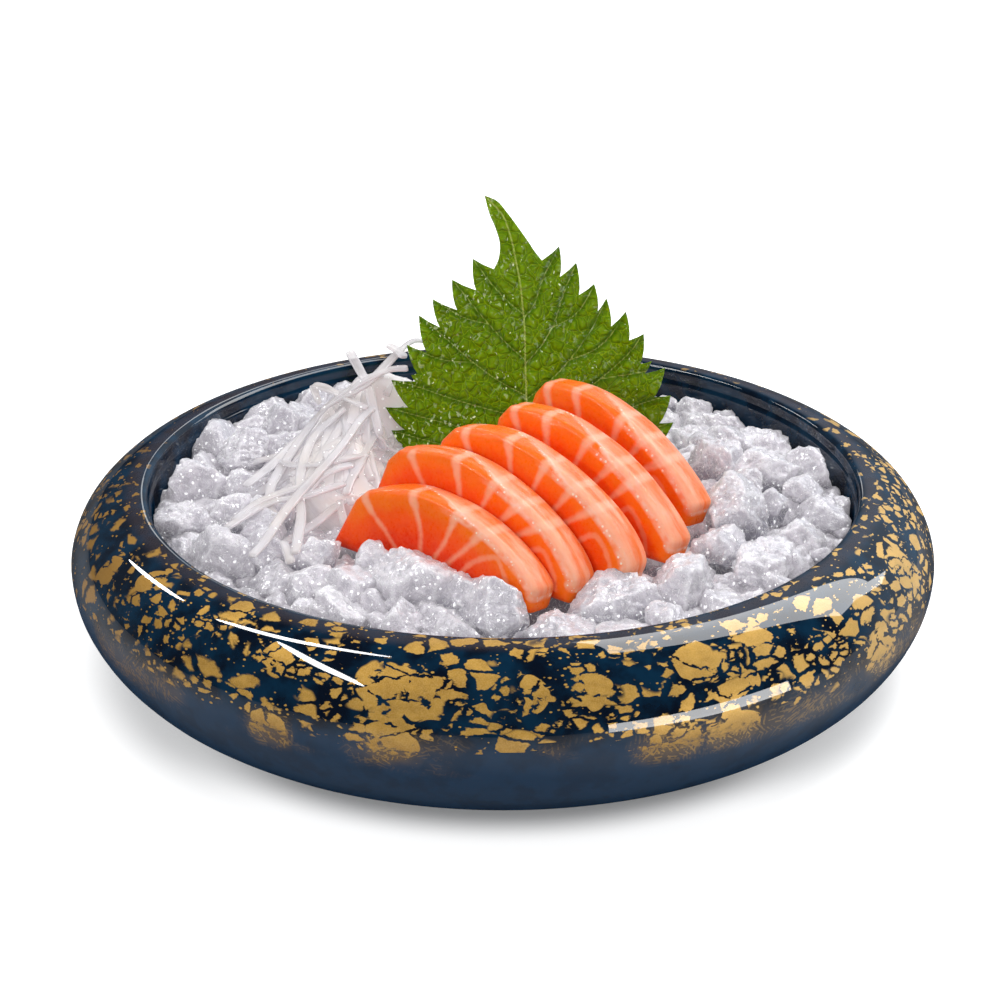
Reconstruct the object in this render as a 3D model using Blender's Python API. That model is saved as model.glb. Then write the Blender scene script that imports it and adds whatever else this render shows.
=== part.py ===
"""Sashimi plate: five salmon slices, a shiso leaf and shredded radish on crushed ice in a round glazed bowl.

Metres, +Z up. The origin is the middle of the bowl's foot, on the surface that the bowl stands on. The cut
faces of the slices look towards -Y, and the leaf stands up behind them. Every soft or wet piece sits in a
pocket that is cut into the ice with a small gap all round.
"""

import math

import bmesh
import bpy
from mathutils import Matrix, Vector, noise
from mathutils.geometry import delaunay_2d_cdt

GAP = 0.0004  # clearance between neighbouring solids
ROW_SHARE = 0.87  # row spacing of a staggered grid, as a share of its point spacing

# Bowl, a solid of revolution: radii from the middle, heights above the table
BOWL_RADIUS = 0.110
BELLY_HEIGHT = 0.0297  # height of the widest line
LIP_RADIUS = 0.0915
LIP_HEIGHT = 0.0477
LIP_CURVE = 0.0024  # how far the lip rolls over, inwards and down
WALL_RADIUS = 0.0891  # inner wall
FLOOR_HEIGHT = 0.0090  # top of the bowl's floor
FLOOR_CURVE = 0.0200  # radius where the floor turns up into the wall
FOOT_RADIUS = 0.0750
FOOT_WIDTH = 0.0090  # flat ring that the bowl stands on
FOOT_RECESS = 0.0015
ROUND = 2.0  # power of a true ellipse: below it a curve is flatter, above it squarer
SHOULDER_POWER = 1.8
BELLY_POWER = 1.95
BOWL_SEGMENTS = 64

# Crushed ice
ICE_CLEARANCE = 0.0008  # to the bowl's wall, and twice that to its floor
ICE_RINGS = 13
ICE_LEVEL = 0.0412  # mean level of the heap along the wall
LUMP_SIZE = 0.017
LUMP_RISE = 0.0052
LUMP_MEAN = 0.55  # distance from a lump's middle, in lump sizes, at which the surface is on the level
# For each swell of the heap: middle, rise above the level (below it for a hollow), and spread
ICE_SWELLS = (
    (Vector((0.008, -0.020)), 0.0030, 0.045),
    (Vector((-0.018, -0.056)), 0.0050, 0.017),
    (Vector((0.006, 0.064)), -0.0035, 0.024),
    (Vector((-0.058, 0.058)), 0.0028, 0.034),
    (Vector((0.064, 0.052)), 0.0028, 0.034),
)

# Salmon slices: each stands on its cut base and leans back
SLICE_THICKNESS = 0.0100
SLICE_LEAN = math.radians(9.0)
SLICE_SINK = 0.0030  # depth of the base below the slice's stated height
SLICE_EDGE = 0.0016  # rounding of the rims of the cut faces
SLICE_END = 0.0030  # height of the blunt right end
SLICE_CREST = 0.44  # where the highest point lies, as a share of the length
SLICE_HEEL = 0.0010  # the right end is cut back by this much at its foot
SHOULDER_CURVATURE = 12.8  # of the stretch from the left shoulder to the crest, per metre
# For each slice: right-hand foot (x, y, height), yaw, length, height, roll in its own plane, fullness of the
# arc, length of the left shoulder, and how far the left end splays per unit of height
SLICES = (
    ((0.0065, -0.0700, 0.0455), -38.8, 0.0630, 0.0170, 0.5, 1.25, 0.0067, 0.45),
    ((0.0156, -0.0640, 0.0452), -38.8, 0.0670, 0.0165, 10.5, 1.40, 0.0053, 0.30),
    ((0.0280, -0.0592, 0.0460), -38.2, 0.0675, 0.0166, 13.5, 1.60, 0.0058, 0.29),
    ((0.0396, -0.0474, 0.0475), -37.0, 0.0690, 0.0158, 13.8, 1.15, 0.0105, 0.18),
    ((0.0455, -0.0290, 0.0490), -39.5, 0.0665, 0.0158, 11.0, 1.10, 0.0115, 0.20),
)

# Shiso leaf, drawn in its own plane: across, and up from where the plane meets the ice
LEAF_FOOT = Vector((0.0, 0.0285, 0.0450))
LEAF_LEAN = math.radians(15.0)
LEAF_THICKNESS = 0.0008
LEAF_TIP = 0.0652
LEAF_BASE = -0.0140
LEAF_HALF_WIDTH = 0.0340
LEAF_VANISH = 0.0510  # height at which the broad part would close
LEAF_TAIL_START = 0.0440  # the drawn-out tip begins here
LEAF_TAIL_HALF_WIDTH = 0.0062
LEAF_MIDRIB = 0.0063  # sideways place of the straight part of the midrib
LEAF_HOOK_START = 0.0330
LEAF_HOOK = 0.0109  # how far the tip swings to the left
LEAF_HOOK_POWER = 2.2  # the larger, the nearer to the tip it bends
LEAF_TAIL_POWER = 0.8  # below 1 the tail keeps its width for longer
LEAF_FOLD = 0.0030  # how far the margins come forward of the midrib
LEAF_FOLD_POWER = 1.6
LEAF_FOLD_RISE = 0.0300  # height over which the fold grows to its full depth
TOOTH_PITCH = 0.0066
LAST_TOOTH = 0.75  # of the depth of the leaf's base
MARGIN_STEP = 0.0002  # fineness of the search for the next notch
# For the left and right halves: side, share of the half width, height of the highest notch, and the length
# and the rise of the highest teeth
LEAF_HALVES = (
    (-1.0, 0.99, 0.0456, 0.0068, math.radians(30.0)),
    (1.0, 1.04, 0.0488, 0.0050, math.radians(42.0)),
)
LEAF_GRID = 0.0085
LEAF_GRID_SHARE = 0.78  # of the outline that the inner points fill

# Shredded radish heap, an oval drawn out towards the back
RADISH_MIDDLE = Vector((-0.036, 0.016))
RADISH_LENGTH = 0.036  # half of the long way
RADISH_WIDTH = 0.018  # half of the short way
RADISH_YAW = math.radians(15.0)  # turn of the long way, clockwise from +Y
RADISH_BASE = 0.0385
RADISH_EDGE_RISE = 0.0015
RADISH_GRID = 0.0050
RADISH_GRID_SHARE = 0.90
RADISH_OUTLINE_STEPS = 28
RADISH_TUFT = 0.0024  # unevenness of the strands
RADISH_TUFT_SPACING = 0.0060
POCKET_HEIGHT = 0.0500  # of the cutter, well above the ice
# Before the leaf and right of its left points the heap stays low, so that the points stand clear
RADISH_LOW_LEFT = -0.0345
RADISH_LOW_BACK = 0.0300
RADISH_LOW_RUN = 0.0040  # distance over which it falls away
RADISH_LOW_SHARE = 0.95
# For each mound of the heap: middle, rise above the ice, and spread across and along
RADISH_MOUNDS = (
    (Vector((-0.030, 0.037)), 0.0220, 0.022, 0.016),
    (Vector((-0.041, 0.004)), 0.0110, 0.015, 0.028),
)


def material(name, colour, roughness, alpha=1.0):
    """A named Principled material."""
    finish = bpy.data.materials.new(name)
    finish.use_nodes = True
    shader = finish.node_tree.nodes["Principled BSDF"]
    shader.inputs["Base Color"].default_value = (*colour, 1.0)
    shader.inputs["Roughness"].default_value = roughness
    shader.inputs["Alpha"].default_value = alpha
    return finish


def new_object(name, mesh, finish=None):
    """Link a mesh into the scene under a name."""
    thing = bpy.data.objects.new(name, mesh)
    bpy.context.collection.objects.link(thing)
    if finish:
        mesh.materials.append(finish)
    return thing


def mesh_of(name, shape):
    """Turn a bmesh into a mesh with its faces pointing out, and free it."""
    bmesh.ops.recalc_face_normals(shape, faces=shape.faces)
    mesh = bpy.data.meshes.new(name)
    shape.to_mesh(mesh)
    shape.free()
    return mesh


def as_cutter(thing):
    """Mark an object as a cutting tool, which is no part of the plate."""
    thing.hide_render = True
    thing.display_type = "WIRE"
    return thing


def cut(target, cutter):
    """Take the cutter's shape away from the target."""
    step = target.modifiers.new("cut_" + cutter.name, "BOOLEAN")
    step.operation = "DIFFERENCE"
    step.solver = "EXACT"
    step.object = cutter


def smooth_step(value):
    """0 below 0, 1 above 1, and a smooth rise between."""
    value = min(max(value, 0.0), 1.0)
    return value * value * (3.0 - 2.0 * value)


def quarter(width, height, power, steps):
    """Points of a quarter superellipse, from (0, height) to (width, 0)."""
    angles = [math.pi / 2 * step / steps for step in range(steps + 1)]
    return [(width * math.sin(a) ** (2 / power), height * math.cos(a) ** (2 / power)) for a in angles]


# Bowl


def bowl_profile():
    """Radius and height from the middle of the floor, over the lip, and down to the middle of the base."""
    points = [(0.0, FLOOR_HEIGHT)]
    for run, rise in quarter(FLOOR_CURVE, FLOOR_CURVE, ROUND, 5):
        points.append((WALL_RADIUS - FLOOR_CURVE + run, FLOOR_HEIGHT + FLOOR_CURVE - rise))
    for run, rise in reversed(quarter(LIP_RADIUS - WALL_RADIUS, LIP_CURVE, ROUND, 3)):
        points.append((LIP_RADIUS - run, LIP_HEIGHT - LIP_CURVE + rise))
    shoulder = quarter(BOWL_RADIUS - LIP_RADIUS, LIP_HEIGHT - BELLY_HEIGHT, SHOULDER_POWER, 8)
    points += [(LIP_RADIUS + run, BELLY_HEIGHT + rise) for run, rise in shoulder[1:]]
    belly = quarter(BOWL_RADIUS - FOOT_RADIUS, BELLY_HEIGHT, BELLY_POWER, 8)
    points += [(FOOT_RADIUS + run, BELLY_HEIGHT - rise) for run, rise in reversed(belly[:-1])]
    inside = FOOT_RADIUS - FOOT_WIDTH
    points += [(inside, 0.0), (inside - FOOT_RECESS, FOOT_RECESS), (0.0, FOOT_RECESS)]
    return points


def make_bowl():
    """The bowl, turned from its profile with a Screw modifier."""
    shape = bmesh.new()
    verts = [shape.verts.new((radius, 0.0, height)) for radius, height in bowl_profile()]
    for first, second in zip(verts, verts[1:]):
        shape.edges.new((first, second))
    mesh = bpy.data.meshes.new("bowl")
    shape.to_mesh(mesh)
    shape.free()
    bowl = new_object("bowl", mesh, material("bowl_glaze", (0.015, 0.055, 0.10), 0.12))
    turn = bowl.modifiers.new("turn", "SCREW")
    turn.steps = BOWL_SEGMENTS
    turn.render_steps = BOWL_SEGMENTS
    turn.use_merge_vertices = True
    turn.merge_threshold = 0.00005
    turn.use_smooth_shade = True
    return bowl


# Shapes drawn as a flat outline and then raised into a closed body


def triangulated(outline, inside):
    """Triangles over an outline and the loose points inside it."""
    points = [Vector(p) for p in outline] + [Vector(p) for p in inside]
    rim = list(range(len(outline)))
    return delaunay_2d_cdt(points, [], [rim], 1, 1e-9)


def closed_body(name, outline, inside, top, bottom):
    """A closed mesh between two surfaces over one outline; top and bottom turn a flat point into a place."""
    flat, _, faces, *_ = triangulated(outline, inside)
    shape = bmesh.new()
    upper = [shape.verts.new(top(point)) for point in flat]
    lower = [shape.verts.new(bottom(point)) for point in flat]
    for face in faces:
        shape.faces.new([upper[i] for i in face])
        shape.faces.new([lower[i] for i in reversed(face)])
    count = len(outline)
    for here in range(count):
        after = (here + 1) % count
        shape.faces.new((upper[after], upper[here], lower[here], lower[after]))
    bmesh.ops.triangulate(shape, faces=shape.faces)
    return mesh_of(name, shape)


def grid_inside(outline, spacing, share):
    """Staggered grid points that lie inside the outline once it is shrunk towards its middle."""
    middle = sum((Vector(p) for p in outline), Vector((0.0, 0.0))) / len(outline)
    ring = [middle + (Vector(p) - middle) * share for p in outline]
    low = Vector((min(p.x for p in ring), min(p.y for p in ring)))
    high = Vector((max(p.x for p in ring), max(p.y for p in ring)))
    rows = int((high.y - low.y) / (spacing * ROW_SHARE)) + 1
    columns = int((high.x - low.x) / spacing) + 1
    found = []
    for row in range(rows + 1):
        for column in range(columns + 1):
            shift = 0.5 * (row % 2)
            point = low + Vector(((column + shift) * spacing, row * spacing * ROW_SHARE))
            if is_inside(point, ring):
                found.append(point)
    return found


def is_inside(point, ring):
    """Whether a flat point lies inside a closed ring of points."""
    inside = False
    for first, second in zip(ring, ring[1:] + ring[:1]):
        if (first.y > point.y) != (second.y > point.y):
            crossing = first.x + (point.y - first.y) / (second.y - first.y) * (second.x - first.x)
            inside ^= point.x < crossing
    return inside


# Crushed ice


def ice_level(point):
    """Mean height of the heap at a flat point: raised under and before the fish, hollow behind the leaf."""
    level = ICE_LEVEL
    for middle, rise, spread in ICE_SWELLS:
        level += rise * math.exp(-(((point - middle).length / spread) ** 2))
    return level


def ice_top(point):
    """Surface of the heap: rounded lumps with gaps between them."""
    place = Vector((point.x, point.y, 0.0)) / LUMP_SIZE
    distances, _ = noise.voronoi(place)
    lump = LUMP_RISE * (LUMP_MEAN - distances[0])
    return Vector((point.x, point.y, ice_level(point) + lump))


def ice_bottom(point):
    """Underside of the ice, a small clearance inside the bowl's floor and curved corner."""
    curve = FLOOR_CURVE
    run = min(max(point.length - (WALL_RADIUS - FLOOR_CURVE), 0.0), curve - ICE_CLEARANCE)
    rise = curve - math.sqrt(curve * curve - run * run)
    return Vector((point.x, point.y, FLOOR_HEIGHT + 2.0 * ICE_CLEARANCE + rise))


def make_ice():
    """The heap of crushed ice, before the pockets are cut."""
    radius = WALL_RADIUS - ICE_CLEARANCE
    rings = []
    for ring in range(ICE_RINGS + 1):
        count = max(6 * ring, 1)
        reach = radius * ring / ICE_RINGS
        turns = [math.tau * step / count for step in range(count)]
        rings.append([Vector((reach * math.cos(turn), reach * math.sin(turn))) for turn in turns])
    inside = [point for ring in rings[:-1] for point in ring]
    mesh = closed_body("ice", rings[-1], inside, ice_top, ice_bottom)
    return new_object("ice", mesh, material("ice", (0.80, 0.82, 0.87), 0.20, 0.6))


# Salmon slices


def slice_outline(length, height, roll, fullness, shoulder, splay):
    """Outline of a slice in its own plane: foot of the left end, shoulder, arc, blunt right end, foot."""
    crest = SLICE_CREST * length
    arc = []
    for step in range(5):
        along = shoulder + (crest - shoulder) * step / 5
        arc.append((along, height - SHOULDER_CURVATURE * (crest - along) ** 2))
    for run, rise in quarter(1.0, 1.0, ROUND, 11):
        fall = (1.0 - run * run) ** (1 / fullness) if run < 1.0 else 0.0
        arc.append((crest + (length - crest) * run, SLICE_END + (height - SLICE_END) * fall))
    foot = Vector((length, 0.0))
    turn = Matrix.Rotation(-math.radians(roll), 2)
    points = [foot + turn @ (Vector(point) - foot) for point in arc]
    left = points[0] - Vector(((points[0].y + SLICE_SINK) * splay, points[0].y + SLICE_SINK))
    return [left, *points, Vector((length - SLICE_HEEL, -SLICE_SINK))]


def slice_place(foot, yaw, length):
    """Where a slice's own axes go: along its base, back through its thickness, and up its leaning face."""
    turn = Matrix.Rotation(math.radians(yaw), 4, "Z") @ Matrix.Rotation(-SLICE_LEAN, 4, "X")
    return Matrix.Translation(foot) @ turn @ Matrix.Translation((-length, 0.0, 0.0))


def make_slice(number, foot, yaw, length, height, roll, fullness, shoulder, splay, finish):
    """One slice: its outline extruded through the thickness, with the rims of the cut faces rounded."""
    outline = slice_outline(length, height, roll, fullness, shoulder, splay)
    shape = bmesh.new()
    front = shape.faces.new([shape.verts.new((point.x, 0.0, point.y)) for point in outline])
    grown = bmesh.ops.extrude_face_region(shape, geom=[front], use_keep_orig=True)
    back = [item for item in grown["geom"] if isinstance(item, bmesh.types.BMVert)]
    bmesh.ops.translate(shape, verts=back, vec=(0.0, SLICE_THICKNESS, 0.0))
    bmesh.ops.recalc_face_normals(shape, faces=shape.faces)
    caps = [face for face in shape.faces if len(face.verts) > 4]
    rims = list({edge for face in caps for edge in face.edges})
    bmesh.ops.bevel(shape, geom=rims, offset=SLICE_EDGE, segments=2, profile=0.5, affect="EDGES")
    bmesh.ops.triangulate(shape, faces=shape.faces)
    name = f"salmon_slice_{number}"
    mesh = mesh_of(name, shape)
    mesh.shade_smooth()
    mesh.set_sharp_from_angle(angle=math.radians(50))
    piece = new_object(name, mesh, finish)
    piece.matrix_world = slice_place(foot, yaw, length)
    return piece


def slice_pocket(number, foot, yaw, length, height, roll, fullness, shoulder, splay):
    """Cutter for the pocket that a slice stands in, open above."""
    along = [point.x for point in slice_outline(length, height, roll, fullness, shoulder, splay)]
    low = Vector((min(along) - GAP, -GAP, -SLICE_SINK - GAP))
    high = Vector((max(along) + GAP, SLICE_THICKNESS + GAP, height))
    pocket = box_cutter(f"slice_pocket_{number}", low, high)
    pocket.matrix_world = slice_place(foot, yaw, length)
    return pocket


def box_cutter(name, low, high):
    """A box between two corners, as a cutting tool."""
    shape = bmesh.new()
    size = high - low
    place = Matrix.Translation((low + high) / 2) @ Matrix.Diagonal((*size, 1.0))
    bmesh.ops.create_cube(shape, size=1.0, matrix=place)
    return as_cutter(new_object(name, mesh_of(name, shape)))


# Shiso leaf


def leaf_midrib(height):
    """Sideways place of the midrib, which swings to the left near the tip."""
    share = max(height - LEAF_HOOK_START, 0.0) / (LEAF_TIP - LEAF_HOOK_START)
    return LEAF_MIDRIB - LEAF_HOOK * share**LEAF_HOOK_POWER


def leaf_half_width(height):
    """Distance from the midrib to the line of the notches."""
    if height < 0.0:
        return LEAF_HALF_WIDTH * math.sqrt(max(1.0 - (height / LEAF_BASE) ** 2, 0.0))
    broad = LEAF_HALF_WIDTH * (1.0 - (height / LEAF_VANISH) ** 2)
    share = min((LEAF_TIP - height) / (LEAF_TIP - LEAF_TAIL_START), 1.0)
    tail = LEAF_TAIL_HALF_WIDTH * max(share, 0.0) ** LEAF_TAIL_POWER
    return max(broad, tail)


def leaf_margin(side, share, height):
    """A point of the notch line; side is -1 for the left half and 1 for the right."""
    return Vector((leaf_midrib(height) + side * share * leaf_half_width(height), height))


def leaf_side(side, share, top, length, lift):
    """Margin of one half from below the tip to beside the base: a smooth tail, then teeth."""
    margin = [leaf_margin(side, share, top + (LEAF_TIP - top) * part) for part in (0.7, 0.35)]
    height = top
    while height > LEAF_BASE * LAST_TOOTH:
        notch = leaf_margin(side, share, height)
        rise = lift * smooth_step(height / top)
        point = notch + length * Vector((side * math.cos(rise), math.sin(rise)))
        margin += [notch, point]
        step = 0.0
        while step < TOOTH_PITCH:
            height -= MARGIN_STEP
            step = (leaf_margin(side, share, height) - notch).length
    return margin


def leaf_point(point, offset):
    """Place of a point of the leaf's plane, folded forward at the margins, at an offset from its middle."""
    reach = min(abs(point.x - leaf_midrib(point.y)) / LEAF_HALF_WIDTH, 1.2)
    fold = LEAF_FOLD * reach**LEAF_FOLD_POWER * smooth_step(point.y / LEAF_FOLD_RISE)
    lean = Matrix.Rotation(-LEAF_LEAN, 3, "X")
    return LEAF_FOOT + lean @ Vector((point.x, offset - fold, point.y))


def make_leaf():
    """The toothed leaf, a thin closed body that leans back."""
    left, right = [leaf_side(*half) for half in LEAF_HALVES]
    tip = Vector((leaf_midrib(LEAF_TIP), LEAF_TIP))
    outline = [tip, *left, Vector((LEAF_MIDRIB, LEAF_BASE)), *reversed(right)]
    inside = grid_inside(outline, LEAF_GRID, LEAF_GRID_SHARE)
    half = LEAF_THICKNESS / 2
    mesh = closed_body(
        "shiso_leaf", outline, inside, lambda p: leaf_point(p, -half), lambda p: leaf_point(p, half)
    )
    return new_object("shiso_leaf", mesh, material("leaf", (0.10, 0.22, 0.01), 0.45))


def leaf_slot(name, forward, top):
    """Cutter that leaves room for the leaf, reaching forward of its plane and up to a height along it."""
    reach = max(LEAF_HALF_WIDTH * share + length for _, share, _, length, _ in LEAF_HALVES) + GAP
    back = LEAF_THICKNESS / 2 + GAP
    low = Vector((LEAF_MIDRIB - reach, -back - forward, LEAF_BASE - GAP))
    high = Vector((LEAF_MIDRIB + reach, back, top))
    slot = box_cutter(name, low, high)
    slot.matrix_world = Matrix.Translation(LEAF_FOOT) @ Matrix.Rotation(-LEAF_LEAN, 4, "X")
    return slot


# Shredded radish


def radish_outline(grow):
    """Oval footprint of the heap, grown outwards by a distance."""
    turn = Matrix.Rotation(-RADISH_YAW, 2)
    outline = []
    for step in range(RADISH_OUTLINE_STEPS):
        angle = math.tau * step / RADISH_OUTLINE_STEPS
        local = Vector(((RADISH_WIDTH + grow) * math.cos(angle), (RADISH_LENGTH + grow) * math.sin(angle)))
        outline.append(RADISH_MIDDLE + turn @ local)
    return outline


def radish_fall(point):
    """Share of the heap's rise that is left at a flat point."""
    beside = min(max((point.x - RADISH_LOW_LEFT) / RADISH_LOW_RUN, 0.0), 1.0)
    before = min(max((RADISH_LOW_BACK - point.y) / RADISH_LOW_RUN, 0.0), 1.0)
    return 1.0 - RADISH_LOW_SHARE * beside * before


def radish_top(point):
    """Surface of the heap: two mounds over the ice, ruffled by the strands and low before the leaf."""
    turn = Matrix.Rotation(RADISH_YAW, 2)
    rise = RADISH_EDGE_RISE
    for middle, height, across, along in RADISH_MOUNDS:
        local = turn @ (point - middle)
        rise += height * math.exp(-((local.x / across) ** 2) - (local.y / along) ** 2)
    rise *= radish_fall(point)
    ruffle = RADISH_TUFT * noise.noise(Vector((point.x, point.y, 0.0)) / RADISH_TUFT_SPACING)
    return Vector((point.x, point.y, ice_level(point) + rise + ruffle))


def make_radish():
    """The heap of radish strands as one uneven body."""
    outline = radish_outline(0.0)
    inside = grid_inside(outline, RADISH_GRID, RADISH_GRID_SHARE)
    mesh = closed_body("daikon", outline, inside, radish_top, lambda p: Vector((p.x, p.y, RADISH_BASE)))
    return new_object("daikon", mesh, material("radish", (0.85, 0.84, 0.84), 0.35))


def radish_pocket():
    """Cutter for the hollow in the ice that the heap lies in."""
    outline = radish_outline(GAP)
    shape = bmesh.new()
    base = shape.faces.new([shape.verts.new((p.x, p.y, RADISH_BASE - GAP)) for p in outline])
    grown = bmesh.ops.extrude_face_region(shape, geom=[base], use_keep_orig=True)
    lid = [item for item in grown["geom"] if isinstance(item, bmesh.types.BMVert)]
    bmesh.ops.translate(shape, verts=lid, vec=(0.0, 0.0, POCKET_HEIGHT))
    return as_cutter(new_object("radish_pocket", mesh_of("radish_pocket", shape)))


def main():
    for thing in list(bpy.data.objects):
        bpy.data.objects.remove(thing)
    make_bowl()
    ice = make_ice()
    flesh = material("salmon", (0.85, 0.22, 0.06), 0.35)
    for number, sizes in enumerate(SLICES, start=1):
        make_slice(number, *sizes, flesh)
        cut(ice, slice_pocket(number, *sizes))
    make_leaf()
    radish = make_radish()
    cut(radish, leaf_slot("leaf_room", LEAF_FOLD, LEAF_TIP))
    cut(ice, leaf_slot("leaf_slot", 0.0, 0.010))
    cut(ice, radish_pocket())


main()
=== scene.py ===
"""Looks of the sashimi plate: a glazed bowl of crushed ice, salmon slices, a shiso leaf and shredded radish.

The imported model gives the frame, in metres with +Z up. Every piece is built around it from named sizes:
the bowl is turned from its profile, the ice is heaped from separate lumps, each slice is cut from a solid
with its lines of fat, the leaf is veined and toothed, and the radish is laid strand by strand.
"""

import logging
import math
from dataclasses import dataclass, field
from enum import Enum
from functools import reduce

import bmesh
import bpy
import numpy as np
from mathutils import Matrix, Vector
from mathutils.bvhtree import BVHTree
from mathutils.geometry import delaunay_2d_cdt


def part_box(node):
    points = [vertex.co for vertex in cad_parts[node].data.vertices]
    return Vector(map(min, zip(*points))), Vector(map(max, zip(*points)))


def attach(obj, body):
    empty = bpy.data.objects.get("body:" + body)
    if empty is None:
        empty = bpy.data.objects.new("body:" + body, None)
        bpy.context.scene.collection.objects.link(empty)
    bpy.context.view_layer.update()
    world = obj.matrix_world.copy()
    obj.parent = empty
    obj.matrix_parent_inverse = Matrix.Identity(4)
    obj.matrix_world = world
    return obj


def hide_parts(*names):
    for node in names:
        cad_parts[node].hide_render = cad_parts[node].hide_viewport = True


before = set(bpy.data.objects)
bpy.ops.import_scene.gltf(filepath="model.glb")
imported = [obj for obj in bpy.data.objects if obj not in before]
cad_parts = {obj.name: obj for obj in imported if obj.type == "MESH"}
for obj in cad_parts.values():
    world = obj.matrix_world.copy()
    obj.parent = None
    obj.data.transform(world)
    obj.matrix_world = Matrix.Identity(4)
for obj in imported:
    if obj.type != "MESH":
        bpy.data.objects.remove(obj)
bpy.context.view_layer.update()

LOG = logging.getLogger("sashimi_plate")
MM = 0.001  # one millimetre in metres
BODY = "root"
BLACK = (0.0, 0.0, 0.0, 1.0)
WHITE = (1.0, 1.0, 1.0, 1.0)

Socket = bpy.types.NodeSocket
Points = list[tuple[float, ...]]


# --------------------------------------------------------------------
# Node graphs and the effects that several finishes share
# --------------------------------------------------------------------


def shade(red: int, green: int, blue: int) -> tuple[float, float, float, float]:
    """A colour for a shader from its display values.

    Args:
        red, green, blue: the display values, 0 to 255.

    Returns:
        The linear colour with full opacity.
    """
    linear = [
        part / 12.92 if part <= 0.04045 else ((part + 0.055) / 1.055) ** 2.4
        for part in (red / 255, green / 255, blue / 255)
    ]
    return (*linear, 1.0)


class Signal:
    """A value in a node graph, which can be reckoned with like a number."""

    def __init__(self, graph: "Graph", socket: Socket) -> None:
        """Keep the socket and the graph that it belongs to."""
        self.graph = graph
        self.socket = socket

    def other(self, output: str | int) -> "Signal":
        """Another output of the same node."""
        return Signal(self.graph, self.socket.node.outputs[output])

    def __add__(self, value: "Value") -> "Signal":
        """The sum."""
        return self.graph.math("ADD", self, value)

    def __sub__(self, value: "Value") -> "Signal":
        """The difference."""
        return self.graph.math("SUBTRACT", self, value)

    def __rsub__(self, value: "Value") -> "Signal":
        """A number less this."""
        return self.graph.math("SUBTRACT", value, self)

    def __mul__(self, value: "Value") -> "Signal":
        """The product."""
        return self.graph.math("MULTIPLY", self, value)

    def __truediv__(self, value: "Value") -> "Signal":
        """The quotient."""
        return self.graph.math("DIVIDE", self, value)

    def __rtruediv__(self, value: "Value") -> "Signal":
        """A number divided by this."""
        return self.graph.math("DIVIDE", value, self)

    def __abs__(self) -> "Signal":
        """The size without the sign."""
        return self.graph.math("ABSOLUTE", self)


Value = float | tuple | Socket | Signal


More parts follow.
